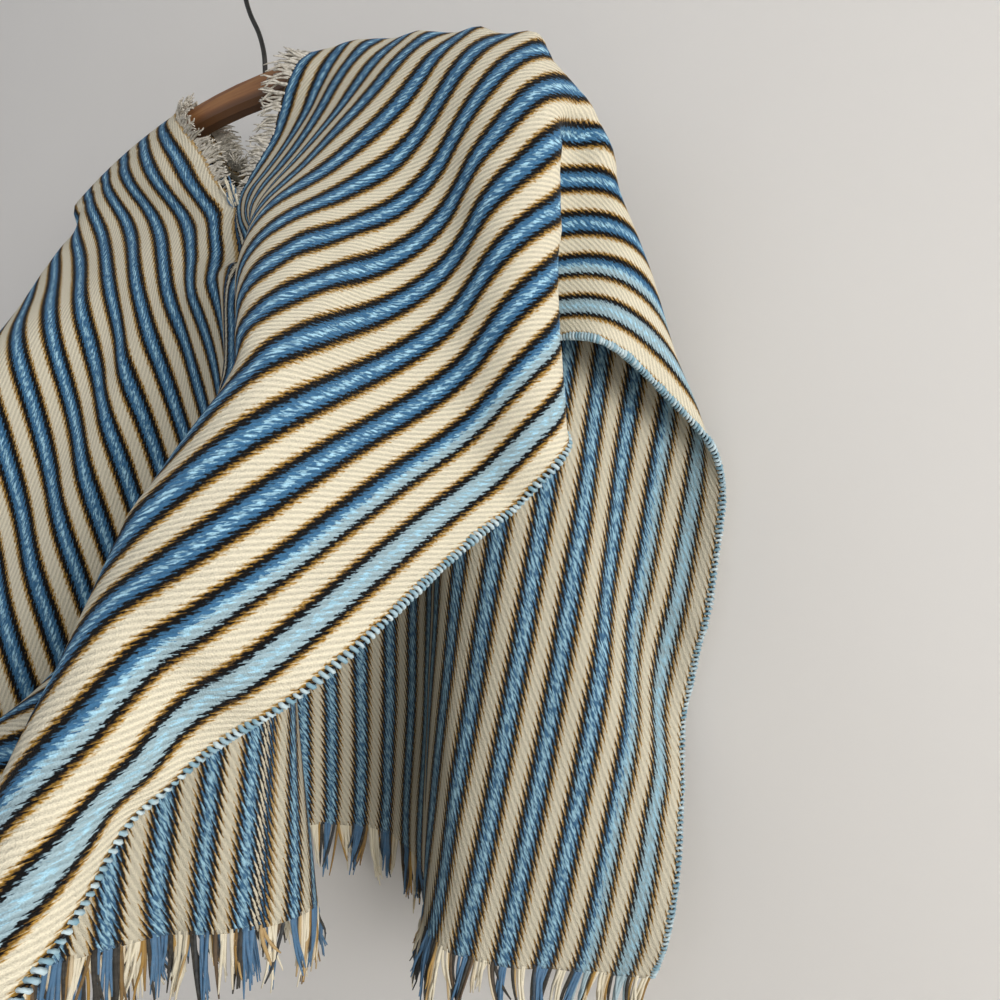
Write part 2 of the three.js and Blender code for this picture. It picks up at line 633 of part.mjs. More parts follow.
// ---------- hanger ----------
// The bar: a stadium section along its curve, a little lower and thinner towards the tips.
function hangerBar() {
  const stations = 28;
  const rings = [];
  for (let n = 0; n <= stations; n += 1) {
    const reach = Math.sin((n / stations - 0.5) * Math.PI);
    const x = reach * WOOD_REACH;
    const taper = Math.sqrt(Math.max(0.1, 1 - Math.abs(reach) ** 14));
    const half = (BAR_THICK / 2) * taper;
    const high = BAR_HIGH * (1 - 0.25 * reach * reach) * (0.5 + 0.5 * taper);
    const top = barTop(x) - (BAR_THICK / 2) * (1 - taper);
    const ring = [];
    for (let k = 0; k <= 5; k += 1) {
      const angle = (k / 5) * Math.PI;
      ring.push(new THREE.Vector3(x, half * Math.cos(angle), BAR_TOP_Z + top - half + half * Math.sin(angle)));
    }
    const chamfer = 3 * taper;
    ring.push(new THREE.Vector3(x, -half, BAR_TOP_Z + top - high + chamfer));
    ring.push(new THREE.Vector3(x, -half + chamfer, BAR_TOP_Z + top - high));
    ring.push(new THREE.Vector3(x, half - chamfer, BAR_TOP_Z + top - high));
    ring.push(new THREE.Vector3(x, half, BAR_TOP_Z + top - high + chamfer));
    rings.push(ring);
  }
  return loft(rings);
}

// The wire: a stem that leans as it rises, then the crook.
function hangerHook() {
  const points = [
    new THREE.Vector3(0, 0, SEAM + BAR_TOP_Z),
    new THREE.Vector3(-1, 0, 14 + BAR_TOP_Z),
    new THREE.Vector3(-6, 0, 30 + BAR_TOP_Z),
    new THREE.Vector3(-15, 0, 47 + BAR_TOP_Z),
  ];
  const middle = BAR_TOP_Z + CROOK_RISE;
  for (let degrees = 190; degrees >= -30; degrees -= 20) {
    const angle = THREE.MathUtils.degToRad(degrees);
    points.push(new THREE.Vector3(CROOK_RADIUS * Math.cos(angle), 0, middle + CROOK_RADIUS * Math.sin(angle)));
  }
  const wire = new THREE.Shape().absarc(0, 0, WIRE / 2, 0, 2 * Math.PI, false);
  return new THREE.ExtrudeGeometry(wire, {
    steps: 40, curveSegments: 5, bevelEnabled: false,
    extrudePath: new THREE.CatmullRomCurve3(points),
  });
}

// ---------- the whole ----------
const wool = () => new THREE.MeshStandardMaterial({ color: "#7f93a3", roughness: 0.95, side: THREE.DoubleSide });
const creamYarn = () => new THREE.MeshStandardMaterial({ color: "#d9d3c6", roughness: 0.95 });
const wood = () => new THREE.MeshStandardMaterial({ color: "#7d4a2c", roughness: 0.45 });
const steel = () => new THREE.MeshStandardMaterial({ color: "#3c3d3c", roughness: 0.4, metalness: 0.9 });

const poncho = new THREE.Group();
function add(name, geometry, material) {
  const mesh = new THREE.Mesh(geometry, material);
  mesh.name = name;
  poncho.add(mesh);
}

add("woven_panel", wovenPanel(), wool());
add("fringe_front_hem", hemFringe(1), wool());
add("fringe_back_hem", hemFringe(-1), wool());
add("fringe_neck_right", neckFringe(RIGHT), creamYarn());
add("fringe_neck_left", neckFringe(LEFT), creamYarn());
add("hanger_bar", hangerBar(), wood());
add("hanger_hook", hangerHook(), steel());

export default poncho;
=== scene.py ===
"""The looks of a handwoven wool poncho with a frayed neck and fringed hems, on a wooden hanger.

The cloth is draped as a sheet of threads, the same way as the solid is, and is then given its
thickness, its folds and its yarns. Sizes are millimetres on the cloth; meshes, the room and the
camera are in metres.
"""
import math

import bpy
import numpy as np
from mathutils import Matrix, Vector


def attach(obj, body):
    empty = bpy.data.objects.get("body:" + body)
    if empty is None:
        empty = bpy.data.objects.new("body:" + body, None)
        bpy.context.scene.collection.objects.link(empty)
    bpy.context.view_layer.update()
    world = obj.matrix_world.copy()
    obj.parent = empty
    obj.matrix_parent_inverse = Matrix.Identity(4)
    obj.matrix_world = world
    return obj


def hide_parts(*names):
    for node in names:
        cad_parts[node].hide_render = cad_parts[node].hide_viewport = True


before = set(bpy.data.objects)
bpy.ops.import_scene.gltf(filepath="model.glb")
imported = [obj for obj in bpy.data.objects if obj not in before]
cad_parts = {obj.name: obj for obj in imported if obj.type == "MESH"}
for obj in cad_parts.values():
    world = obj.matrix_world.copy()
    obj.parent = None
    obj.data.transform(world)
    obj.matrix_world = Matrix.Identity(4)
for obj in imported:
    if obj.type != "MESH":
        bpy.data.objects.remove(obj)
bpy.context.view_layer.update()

# ---------- the cut of the cloth ----------
STRIPE_REPEAT = 24.3
HALF_WIDTH = 14 * STRIPE_REPEAT  # slit to selvedge
HALF_LENGTH = 570  # shoulder line to either hem
SLIT = 108  # shoulder line to either end of the slit
CLOTH = 2.0  # thickness of the woven wool

# ---------- how it hangs ----------
BAR_REACH = 226  # hook to where the cloth leaves the bar
BAR_THICK = 13
BAR_HIGH = 21
BAR_SAG = 0.00105  # fall of the bar's top, per mm squared from the hook
BAR_TIP_DROP = 2  # extra fall right at the tips
BAR_TOP_Z = -82.3  # the bar's top, below the inside of the hook's crook
NECK_RIGHT = 50  # where the slit's edges cross the bar, from the hook
NECK_LEFT = -84
BAR_CLEAR = BAR_THICK / 2 + CLOTH / 2 + 0.7  # bar's core to the middle of the cloth
SLIP = 70  # how far the right shoulder is pulled forward at the bar's tip
SLIP_WITHIN = 187  # from the slit to where the slip is whole
WALL_Y = 95  # the wall the back rests against
INNER = 240  # across to here, the front and the back stay on their own side of the bar
BELOW_SHOULDER = 160  # from this far below the shoulder line
FRONT_Y = -12  # the front's middle stays before this
BACK_Y = 4  # the back's middle stays behind this

# ---------- the settling of the sheet ----------
COLUMNS = 21  # cells from slit to selvedge
ROWS = 38  # cells from shoulder line to hem
CELL_ACROSS = HALF_WIDTH / COLUMNS
CELL_ALONG = HALF_LENGTH / ROWS
SLIT_ROWS = math.floor(SLIT / CELL_ALONG + 0.5)
STEPS = 300
PASSES = 12
KEEP_SPEED = 0.97
FALL = 0.04  # mm per step of gravity
APART = 15  # folds stay this far from each other, measured between points
NEARLY = 12  # pairs up to this much further off can be pushed too close within a pass
SAME_FOLD = 34  # points closer than this on the flat cloth may come nearer
LOOK_AGAIN = 10  # steps between looks for folds that come close
TINY = 1e-6

# How the sheet is held out over the bar before it falls.
START_SPREAD = 0.9
START_LEAN = 0.35
START_LEAN_WITHIN = 300
START_FORWARD = 0.55
START_BACK = 0.15
START_FALL = 0.8

# The fold over which the right front is swept: two slopes, each as the direction it faces and how
# far along it is. The cloth stays beyond the one or the other.
CREST_FROM = 100
CREST_TO = 330
CREST = ((0.653, 0.7576, 0.0, -17.8), (0.4715, 0.682, -0.5615, 103.0))

# The weave's threads: cells across, cells along, how strongly each holds its length.
THREADS = (
    (1, 0, 1), (0, 1, 1), (1, 1, 0.3), (1, -1, 0.3),
    (2, 0, 0.05), (0, 2, 0.05), (4, 0, 0.02), (0, 4, 0.02),
)

# Where points of the cloth lie once it hangs: which half, across from the slit, along from the
# shoulder line, x, y and z from the bar's top under the hook, how firmly.
LIES = (
    (1, 0, 108, -16, -8, -94, 0.4),  # neck front end
    (1, 0, -108, -21, 18, -86, 0.4),  # neck back end
    (1, 0, 54, 20, -9, -47, 0.2),  # neck front right
    (-1, 0, 54, -50, -9, -48, 0.2),  # neck front left
    (1, 0, -54, 14, 12, -44, 0.2),  # neck back right
    (-1, 0, -54, -53, 12, -46, 0.2),  # neck back left
    (1, 340, -562, 257, 74, -580, 0.12),  # back corner
    (1, 340, -462, 272, 86, -495, 0.06),  # back selvedge low
    (1, 340, -335, 283, 92, -370, 0.12),  # back selvedge mid
    (1, 340, -216, 272, 90, -252, 0.05),  # arch foot
    (1, 340, -168, 253, 66, -223, 0.12),  # arch back
    (1, 340, -88, 243, -12, -203, 0.12),  # arch crown
    (1, 280, -570, 200, 39, -578, 0.08),  # back hem outer
    (1, 205, -570, 135, 7, -570, 0.08),  # back hem fold
    (1, 150, -570, 100, 53, -565, 0.08),  # back hem hollow
    (1, 40, -570, -3, 78, -560, 0.08),  # back hem middle
    (1, 255, 10, 238, -16, -155, 0.12),  # ridge high
    (1, 330, 80, 244, -34, -256, 0.12),  # ridge low
    (1, 340, 0, 192, 6, -206, 0.05),  # pleat behind ridge
    (1, 340, 135, 226, -44, -304, 0.12),  # front selvedge high
    (1, 340, 350, 145, -200, -416, 0.12),  # sweep selvedge
    (1, 290, 305, 158, -209, -344, 0.2),  # sweep middle
    (1, 243, 270, 140, -197, -304, 0.3),  # sweep crest
    (1, 200, 255, 120, -162, -279, 0.3),  # crest outer
    (1, 85, 280, 75, -119, -255, 0.3),  # crest middle
    (1, 24, 272, 41, -81, -226, 0.1),  # crest inner
    (1, 15, 208, 21, -46, -176, 0.1),  # crest start
    (1, 340, 570, 60, -340, -520, 0.05),  # front corner
    (1, 243, 570, -10, -360, -470, 0.05),  # front hem outer
    (1, 49, 570, 46, -60, -560, 0.05),  # front hem inner
    (1, 175, 370, 100, -150, -360, 0.15),  # under the crest
    (1, 0, 168, 2, -27, -135, 0.2),  # below the slit
    (1, 300, -148, 258, 50, -180, 0.1),  # arch dome
    (1, 245, -112, 246, 30, -120, 0.1),  # beyond the tip
)

RIGHT, LEFT = 1, -1


def bar_top(x):
    return -BAR_SAG * x * x - BAR_TIP_DROP * (abs(x) / BAR_REACH) ** 6


def slip(half, across):
    return -SLIP * min(1, across / SLIP_WITHIN) ** 1.5 if half == RIGHT else 0.0


def start_place(half, across, along):
    down = abs(along)
    neck = NECK_RIGHT if half == RIGHT else NECK_LEFT
    middle = (NECK_RIGHT + NECK_LEFT) / 2
    lean = half * min(down, START_LEAN_WITHIN) * START_LEAN * math.exp(-across / START_LEAN_WITHIN)
    joined = across == 0 and down >= SLIT - 1
    x = middle if joined else neck + half * across * START_SPREAD - lean
    y = down * (-START_FORWARD if along > 0 else START_BACK)
    return x, y, -BAR_SAG * x * x - down * START_FALL


def lay_threads(at):
    """Threads in runs in which no point comes twice."""
    runs, seen = [], set()
    for across, along, hold in THREADS:
        rest = math.sqrt((across * CELL_ACROSS) ** 2 + (along * CELL_ALONG) ** 2)
        bins = {}

        def lay(key, a, b):
            pair = (a, b) if a < b else (b, a)
            if a == b or pair in seen:
                return
            seen.add(pair)
            bins.setdefault(key, []).append((a, b))

        for half in (LEFT, RIGHT):
            for i in range(COLUMNS - across + 1):
                for j in range(-ROWS, ROWS + 1):
                    if abs(j + along) > ROWS:
                        continue
                    turn_across = (i // across) % 2 if across else 0
                    turn_along = ((j + ROWS) // abs(along)) % 2 if along else 0
                    key = (half, turn_across, turn_along)
                    lay(key, at(half, i, j), at(half, i + across, j + along))
        for part in range(1, across):
            for j in range(-ROWS, ROWS + 1):
                if abs(j) >= SLIT_ROWS:
                    lay("middle", at(LEFT, part, j), at(RIGHT, across - part, j))
        for pairs in bins.values():
            a, b = np.array(pairs).T
            runs.append((a, b, rest, hold))
    return runs


def held_points(at):
    """The table of places and the line over the bar, as shares of the four points round each."""
    held = []

    def hold_at(half, across, along, x, y, z, hold):
        a = min(across / CELL_ACROSS, COLUMNS)
        b = max(-ROWS, min(ROWS, along / CELL_ALONG))
        i, j = min(COLUMNS - 1, math.floor(a)), min(ROWS - 1, math.floor(b))
        s, t = a - i, b - j
        corners = [
            (at(half, i, j), (1 - s) * (1 - t)),
            (at(half, i + 1, j), s * (1 - t)),
            (at(half, i, j + 1), (1 - s) * t),
            (at(half, i + 1, j + 1), s * t),
        ]
        corners = [corner for corner in corners if corner[1] > TINY]
        total = sum(part * part for _, part in corners)
        held.append((corners, hold / total, (x, y, z)))

    for half in (LEFT, RIGHT):
        x = NECK_RIGHT if half == RIGHT else NECK_LEFT
        i = 0
        while abs(x) < BAR_REACH:
            across = i * CELL_ACROSS
            hold_at(half, across, slip(half, across), x, 0, bar_top(x) - BAR_THICK / 2 + BAR_CLEAR, 1)
            for _ in range(math.ceil(CELL_ACROSS)):
                slope = bar_top(x + half) - bar_top(x)
                x += half / math.sqrt(1 + slope * slope)
            i += 1
    for row in LIES:
        hold_at(*row)
    point, share, owner = [], [], []
    for n, (corners, _, _) in enumerate(held):
        for k, part in corners:
            point.append(k)
            share.append(part)
            owner.append(n)
    pull = np.array([firmly for _, firmly, _ in held])
    want = np.array([place for _, _, place in held], float)
    return np.array(point), np.array(share)[:, None], np.array(owner), pull[:, None], want


def close_pairs(now, across, along, in_half):
    """Pairs of points of different folds that are near each other."""
    flat = np.stack([in_half * across, along], 1)
    first, second = [], []
    for a in range(len(now) - 1):
        near = np.abs(now[a + 1:] - now[a]).max(axis=1) <= 2 * APART
        b = np.nonzero(near)[0] + a + 1
        b = b[np.hypot(*(flat[b] - flat[a]).T) > SAME_FOLD]
        first.extend([a] * len(b))
        second.extend(b.tolist())
    return np.array(first), np.array(second)


def keep_apart(now, pairs):
    first, second = pairs
    away = np.linalg.norm(now[second] - now[first], axis=1)
    for n in np.nonzero(away < APART + NEARLY)[0]:
        a, b = first[n], second[n]
        (ax, ay, az), (bx, by, bz) = now[a].tolist(), now[b].tolist()
        x, y, z = bx - ax, by - ay, bz - az
        gap = math.sqrt(x * x + y * y + z * z)
        if TINY <= gap < APART:
            push = 0.5 * (APART - gap) / gap
            now[a] = ax - x * push, ay - y * push, az - z * push
            now[b] = bx + x * push, by + y * push, bz + z * push


def off_bar(p):
    """The nearest places that are clear of the bar."""
    x, y, z = p[:, 0], p[:, 1], p[:, 2]
    beyond = np.maximum(0, np.abs(x) - BAR_REACH + BAR_THICK / 2)
    top = bar_top(np.clip(x, -BAR_REACH, BAR_REACH)) - BAR_THICK / 2
    core = np.maximum(top - BAR_HIGH + BAR_THICK, np.minimum(top, z))
    away = np.sqrt(y * y + (z - core) * (z - core))
    clear = np.sqrt(np.maximum(0, BAR_CLEAR * BAR_CLEAR - beyond * beyond))
    move = (beyond < BAR_CLEAR) & (away < clear) & (away >= TINY)
    p = p.copy()
    p[move, 1] = (y * clear)[move] / away[move]
    p[move, 2] = core[move] + ((z - core) * clear)[move] / away[move]
    return p


def keep_clear(now, crested, inner_front, inner_back):
    """Off the wall, outside the crest's slopes, on its own side of the bar and clear of it."""
    now[:, 1] = np.minimum(now[:, 1], WALL_Y)
    (ax, ay, az, least_a), (bx, by, bz, least_b) = CREST
    p = now[crested]
    short_a = least_a - ax * p[:, 0] - ay * p[:, 1] - az * p[:, 2]
    short_b = least_b - bx * p[:, 0] - by * p[:, 1] - bz * p[:, 2]
    short = np.minimum(short_a, short_b) > 0
    first = short & (short_a < short_b)
    second = short & ~(short_a < short_b)
    p[first] += short_a[first, None] * np.array([ax, ay, az])
    p[second] += short_b[second, None] * np.array([bx, by, bz])
    now[crested] = p
    now[inner_front, 1] = np.minimum(now[inner_front, 1], FRONT_Y)
    now[inner_back, 1] = np.maximum(now[inner_back, 1], BACK_Y)
    now[:] = off_bar(now)


def drape_sheet():
    """The settled sheet: for each half a grid of points, columns by rows."""
    lookup, across, along, in_half = {}, [], [], []

    def name_of(half, i, j):
        return (0, j) if i == 0 and abs(j) >= SLIT_ROWS else (half * i, j, half)

    for half in (LEFT, RIGHT):
        for i in range(COLUMNS + 1):
            for j in range(-ROWS, ROWS + 1):
                if name_of(half, i, j) in lookup:
                    continue
                lookup[name_of(half, i, j)] = len(across)
                across.append(i * CELL_ACROSS)
                along.append(j * CELL_ALONG)
                in_half.append(half)

    def at(half, i, j):
        return lookup[name_of(half, i, j)]

    now = np.array([start_place(*row) for row in zip(in_half, across, along)])
    before = now.copy()
    across, along, in_half = np.array(across), np.array(along), np.array(in_half)
    threads = lay_threads(at)
    point, share, owner, pull, want = held_points(at)
    crested = np.nonzero((in_half == RIGHT) & (along > CREST_FROM) & (along < CREST_TO))[0]
    inner_front = np.nonzero((across < INNER) & (along > BELOW_SHOULDER))[0]
    inner_back = np.nonzero((across < INNER) & (along < -BELOW_SHOULDER))[0]
    fall = np.array([0, 0, FALL])
    pairs = []
    for step in range(STEPS):
        if step % LOOK_AGAIN == 0:
            pairs = close_pairs(now, across, along, in_half)
        speed = (now - before) * KEEP_SPEED
        before = now.copy()
        now = now + (speed - fall)
        for _ in range(PASSES):
            for a, b, rest, hold in threads:
                gap = now[b] - now[a]
                x, y, z = gap[:, 0], gap[:, 1], gap[:, 2]
                length = np.sqrt(x * x + y * y + z * z)
                move = gap * ((0.5 * hold * (length - rest)) / length)[:, None]
                now[a] += move
                now[b] -= move
            is_at = np.zeros_like(want)
            np.add.at(is_at, owner, share * now[point])
            np.add.at(now, point, share * (pull * (want - is_at))[owner])
            keep_apart(now, pairs)
            keep_clear(now, crested, inner_front, inner_back)
    grids = {}
    for half in (LEFT, RIGHT):
        columns = [[now[at(half, i, j)] for j in range(-ROWS, ROWS + 1)] for i in range(COLUMNS + 1)]
        grids[half] = np.array(columns)
    return grids


# ---------- a smooth surface through the settled sheet ----------
EASE_FROM = 14  # column at which the arch begins to be eased
EASE_WHOLE = 5  # columns further out it is eased in full
EASE_ALONG = -125  # middle of the arch's edge, along the cloth
EASE_REACH = 110
EASE_PASSES = 14


def eased(grid):
    """The right half with the edge of its arch eased into one round sweep."""
    grid = grid.copy()
    outer = np.clip((np.arange(COLUMNS + 1) - EASE_FROM) / EASE_WHOLE, 0, 1)
    near = np.exp(-((np.arange(-ROWS, ROWS + 1) * CELL_ALONG - EASE_ALONG) / EASE_REACH) ** 2)
    share = 0.5 * outer[:, None] * near
    for _ in range(EASE_PASSES):
        mean = (grid[:, :-2] + grid[:, 2:]) / 2
        grid[:, 1:-1] += share[:, 1:-1, None] * (mean - grid[:, 1:-1])
    return grid


def with_borders(grids, half):
    """A half's grid with one more column or row on every side."""
    own, other = grids[half], grids[-half]
    before = 2 * own[0] - own[1]
    below_slit = np.abs(np.arange(-ROWS, ROWS + 1)) >= SLIT_ROWS
    before[below_slit] = other[1][below_slit]
    own = np.concatenate([before[None], own, (2 * own[-1] - own[-2])[None]])
    return np.concatenate([2 * own[:, :1] - own[:, 1:2], own, 2 * own[:, -1:] - own[:, -2:-1]], axis=1)


settled = drape_sheet()
settled[RIGHT] = eased(settled[RIGHT])
hung = {half: with_borders(settled, half) for half in (LEFT, RIGHT)}


def through(a, b, c, d, t):
    """The smooth curve from b to c that comes from a and goes on to d."""
    square = (2 * a - 5 * b + 4 * c - d) * t * t
    cube = (3 * b - a - 3 * c + d) * t ** 3
    return 0.5 * (2 * b + (c - a) * t + square + cube)


def smooth_at(half, across, along):
    """Middle of the cloth at places on the flat panel, before its small creases."""
    across, along = np.broadcast_arrays(np.asarray(across, float), np.asarray(along, float))
    a, b = across / CELL_ACROSS, along / CELL_ALONG
    i = np.clip(np.floor(a), 0, COLUMNS - 1).astype(int)
    j = np.clip(np.floor(b), -ROWS, ROWS - 1).astype(int)
    s, t = (a - i)[..., None], (b - j)[..., None]
    grid, row = hung[half], j + ROWS
    lines = [through(*[grid[i + n, row + m] for m in range(4)], t) for n in range(4)]
    points = through(*lines, s)
    return off_bar(points.reshape(-1, 3)).reshape(points.shape)


def unit(vectors):
    return vectors / np.maximum(1e-9, np.linalg.norm(vectors, axis=-1, keepdims=True))


FEEL = 3.0  # how far to either side the cloth is felt for its directions


def weave_at(half, across, along, place=smooth_at):
    """Directions along the weft, along the warp and out of the cloth's right side."""
    across, along = np.broadcast_arrays(np.asarray(across, float), np.asarray(along, float))
    outer = place(half, np.minimum(HALF_WIDTH, across + FEEL), along)
    inner = place(half, np.maximum(0, across - FEEL), along)
    ahead = place(half, across, np.minimum(HALF_LENGTH, along + FEEL))
    behind = place(half, across, np.maximum(-HALF_LENGTH, along - FEEL))
    weft, warp = unit((outer - inner) * half), unit(ahead - behind)
    return weft, warp, unit(np.cross(warp, weft))


# Creases, given one by one: half, from across and along, to across and along, bow, depth, width.
CREASES = (
    (RIGHT, 150, 84, 240, 262, 14, -2.2, 9),  # the valley that the crest folds over
    (RIGHT, 166, 78, 234, 224, 8, 1.6, 8),
    (RIGHT, 156, 130, 204, 196, 4, -1.5, 6),
    (RIGHT, 60, 60, 104, 205, -6, -1.8, 10),  # soft folds from the shoulder to the crest
    (RIGHT, 96, 40, 142, 190, 5, 1.6, 11),
    (RIGHT, 120, -6, 168, 100, 4, -1.2, 8),
    (RIGHT, 210, 180, 196, 430, 16, 1.5, 18),  # the sweep's long swell
    (RIGHT, 268, 150, 300, 520, -18, -1.6, 16),
    (RIGHT, 312, 60, 322, 400, 6, 1.2, 10),
    (LEFT, 36, 70, 88, 235, -6, -2.2, 9),  # folds of the left front
    (LEFT, 62, 60, 130, 260, 8, 1.8, 11),
    (LEFT, 110, 30, 190, 240, 10, -1.6, 14),
    (LEFT, 10, 130, 34, 300, 3, -1.6, 7),
    (RIGHT, 252, -215, 290, -480, 10, -1.8, 13),  # long folds of the back
    (RIGHT, 222, -260, 240, -560, -8, 1.8, 15),
    (RIGHT, 180, -400, 232, -566, 6, -2.0, 12),
    (RIGHT, 306, -200, 322, -420, -6, 1.4, 10),
    (RIGHT, 140, -300, 130, -560, 8, 1.6, 16),
    (LEFT, 90, -220, 120, -560, 9, -1.8, 18),
)
SWELL = 0.35  # slow unevenness of the whole cloth
PRESSED = 40  # this near the bar the cloth lies flat on it
EDGE_SOFT = 16  # the selvedge ripples this far in
EDGE_RIPPLE = 0.25


def crease(half, across, along):
    """How far the cloth stands out of its smooth drape."""
    slow = np.sin(across / 17 + along / 41 + half)
    rise = SWELL * slow * np.sin(along / 29 - across / 53)
    for side, a0, b0, a1, b1, bow, depth, width in CREASES:
        if side != half:
            continue
        long = math.hypot(a1 - a0, b1 - b0)
        to_across, to_along = (a1 - a0) / long, (b1 - b0) / long
        reached = (across - a0) * to_across + (along - b0) * to_along
        t = np.clip(reached / long, 0, 1)
        off = (across - a0) * to_along - (along - b0) * to_across - bow * np.sin(math.pi * t)
        beyond = reached - t * long
        fades = np.sin(math.pi * np.clip(t, 0.02, 0.98)) ** 0.7
        rise = rise + depth * fades * np.exp(-(off ** 2 + beyond ** 2) / width ** 2)
    slipped = np.where(half == RIGHT, -SLIP, 0) * np.minimum(1, across / SLIP_WITHIN)
    off_the_bar = 1 - np.exp(-((along - slipped) / PRESSED) ** 2)
    near_edge = np.exp(-(HALF_WIDTH - across) / EDGE_SOFT)
    ripple = near_edge * (0.9 * np.sin(along / 9.5) + 0.7 * np.sin(along / 5.3 + 1))
    return rise * off_the_bar + ripple * EDGE_RIPPLE


def cloth_at(half, across, along):
    """Middle of the cloth with its creases."""
    _, _, out = weave_at(half, across, along)
    return smooth_at(half, across, along) + out * crease(half, np.asarray(across, float), along)[..., None]


# ---------- meshes ----------
rng = np.random.default_rng(41)


def to_frame(points):
    """Millimetres from the bar's top under the hook to metres in the part's frame."""
    return (np.asarray(points, float) + (0, 0, BAR_TOP_Z)) / 1000


def mesh_object(name, points, faces, flat, materials, face_material=None):
    """A smooth mesh that knows where on the flat cloth each of its points is."""
    mesh = bpy.data.meshes.new(name)
    mesh.from_pydata(to_frame(points).tolist(), [], faces.tolist() if hasattr(faces, "tolist") else faces)
    layer = mesh.uv_layers.new(name="flat")
    corner = np.zeros(len(mesh.loops), np.int32)
    mesh.loops.foreach_get("vertex_index", corner)
    layer.data.foreach_set("uv", np.asarray(flat, np.float32)[corner].ravel())
    for material in materials:
        mesh.materials.append(material)
    if face_material is not None:
        mesh.polygons.foreach_set("material_index", np.asarray(face_material, np.int32))
    mesh.polygons.foreach_set("use_smooth", np.ones(len(mesh.polygons), bool))
    mesh.update()
    made = bpy.data.objects.new(name, mesh)
    bpy.context.scene.collection.objects.link(made)
    return made


YARN_SIDES = 5
SIDEWAYS = np.array([0.3, 0.8, 0.52])  # a direction that no yarn follows


def yarns(paths, radii):
    """Tubes along many paths of equal count: points and faces."""
    count, rings = paths.shape[:2]
    ahead = unit(np.gradient(paths, axis=1))
    side = unit(np.cross(ahead, SIDEWAYS))
    other = np.cross(ahead, side)
    k = np.arange(YARN_SIDES)
    turn = k * 2 * math.pi / YARN_SIDES
    round_it = side[:, :, None] * np.cos(turn)[:, None] + other[:, :, None] * np.sin(turn)[:, None]
    points = paths[:, :, None] + radii[:, :, None, None] * round_it
    start = (np.arange(count) * rings * YARN_SIDES)[:, None]
    ring = start[:, :, None] + (np.arange(rings - 1) * YARN_SIDES)[None, :, None]
    a, b = ring + k, ring + (k + 1) % YARN_SIDES
    quads = np.stack([a, b, b + YARN_SIDES, a + YARN_SIDES], -1).reshape(-1, 4)
    near_ends = (start + k[::-1]).tolist()
    far_ends = (start + (rings - 1) * YARN_SIDES + k).tolist()
    return points.reshape(-1, 3), quads.tolist() + near_ends + far_ends


PANEL_COLUMNS = 84
PANEL_ROWS = 285


def woven_panel(materials):
    """The whole cloth in one piece, its right side, its wrong side and its cut edges."""
    across = np.linspace(0, HALF_WIDTH, PANEL_COLUMNS + 1)
    along = np.linspace(-HALF_LENGTH, HALF_LENGTH, PANEL_ROWS + 1)
    joined = np.abs(along) >= SLIT - TINY
    grid_across, grid_along = np.meshgrid(across, along, indexing="ij")
    middle, out, flat, ids = [], [], [], {}
    for half in (LEFT, RIGHT):
        middle.append(cloth_at(half, grid_across, grid_along))
        out.append(weave_at(half, grid_across, grid_along, cloth_at)[2])
        flat.append(np.stack([half * grid_across, grid_along], -1))
    for pair in (middle, out):
        shared = (pair[0][0, joined] + pair[1][0, joined]) / 2
        pair[0][0, joined] = shared
        pair[1][0, joined] = shared
    count = (PANEL_COLUMNS + 1) * (PANEL_ROWS + 1)
    ids[LEFT] = np.arange(count).reshape(PANEL_COLUMNS + 1, PANEL_ROWS + 1)
    ids[RIGHT] = ids[LEFT] + count
    ids[RIGHT][0, joined] = ids[LEFT][0, joined]
    loops = []
    for half in (LEFT, RIGHT):
        g = ids[half]
        loop = np.stack([g[:-1, :-1], g[1:, :-1], g[1:, 1:], g[:-1, 1:]], -1).reshape(-1, 4)
        loops.append(loop[:, ::-1] if half == RIGHT else loop)
    loops = np.concatenate(loops)
    middle = np.concatenate([m.reshape(-1, 3) for m in middle])
    out = unit(np.concatenate([o.reshape(-1, 3) for o in out])) * CLOTH / 2
    flat = np.concatenate([f.reshape(-1, 2) for f in flat])
    total = len(middle)
    edge = np.concatenate([np.stack([loops[:, k], loops[:, (k + 1) % 4]], 1) for k in range(4)])
    there, back = edge[:, 0] * total + edge[:, 1], edge[:, 1] * total + edge[:, 0]
    open_edge = edge[~np.isin(there, back)]
    a, b = open_edge[:, 0], open_edge[:, 1]
    rim = np.stack([b, a, a + total, b + total], 1)
    faces = np.concatenate([loops, loops[:, ::-1] + total, rim])
    which = np.concatenate([np.zeros(len(loops)), np.ones(len(loops)), np.zeros(len(rim))])
    used = np.unique(faces)
    renumber = np.zeros(2 * total, int)
    renumber[used] = np.arange(len(used))
    points = np.concatenate([middle + out, middle - out])[used]
    flat = np.concatenate([flat, flat])[used]
    return mesh_object("woven_cloth", points, renumber[faces], flat, materials, which)


WHIP_PITCH = 2.9  # from one turn of the whipping yarn to the next
WHIP_AROUND = 7  # points in a turn
WHIP_YARN = 0.95
WHIP_REACH = 1.6  # selvedge to the middle of the yarn
WHIP_INSET = -0.6


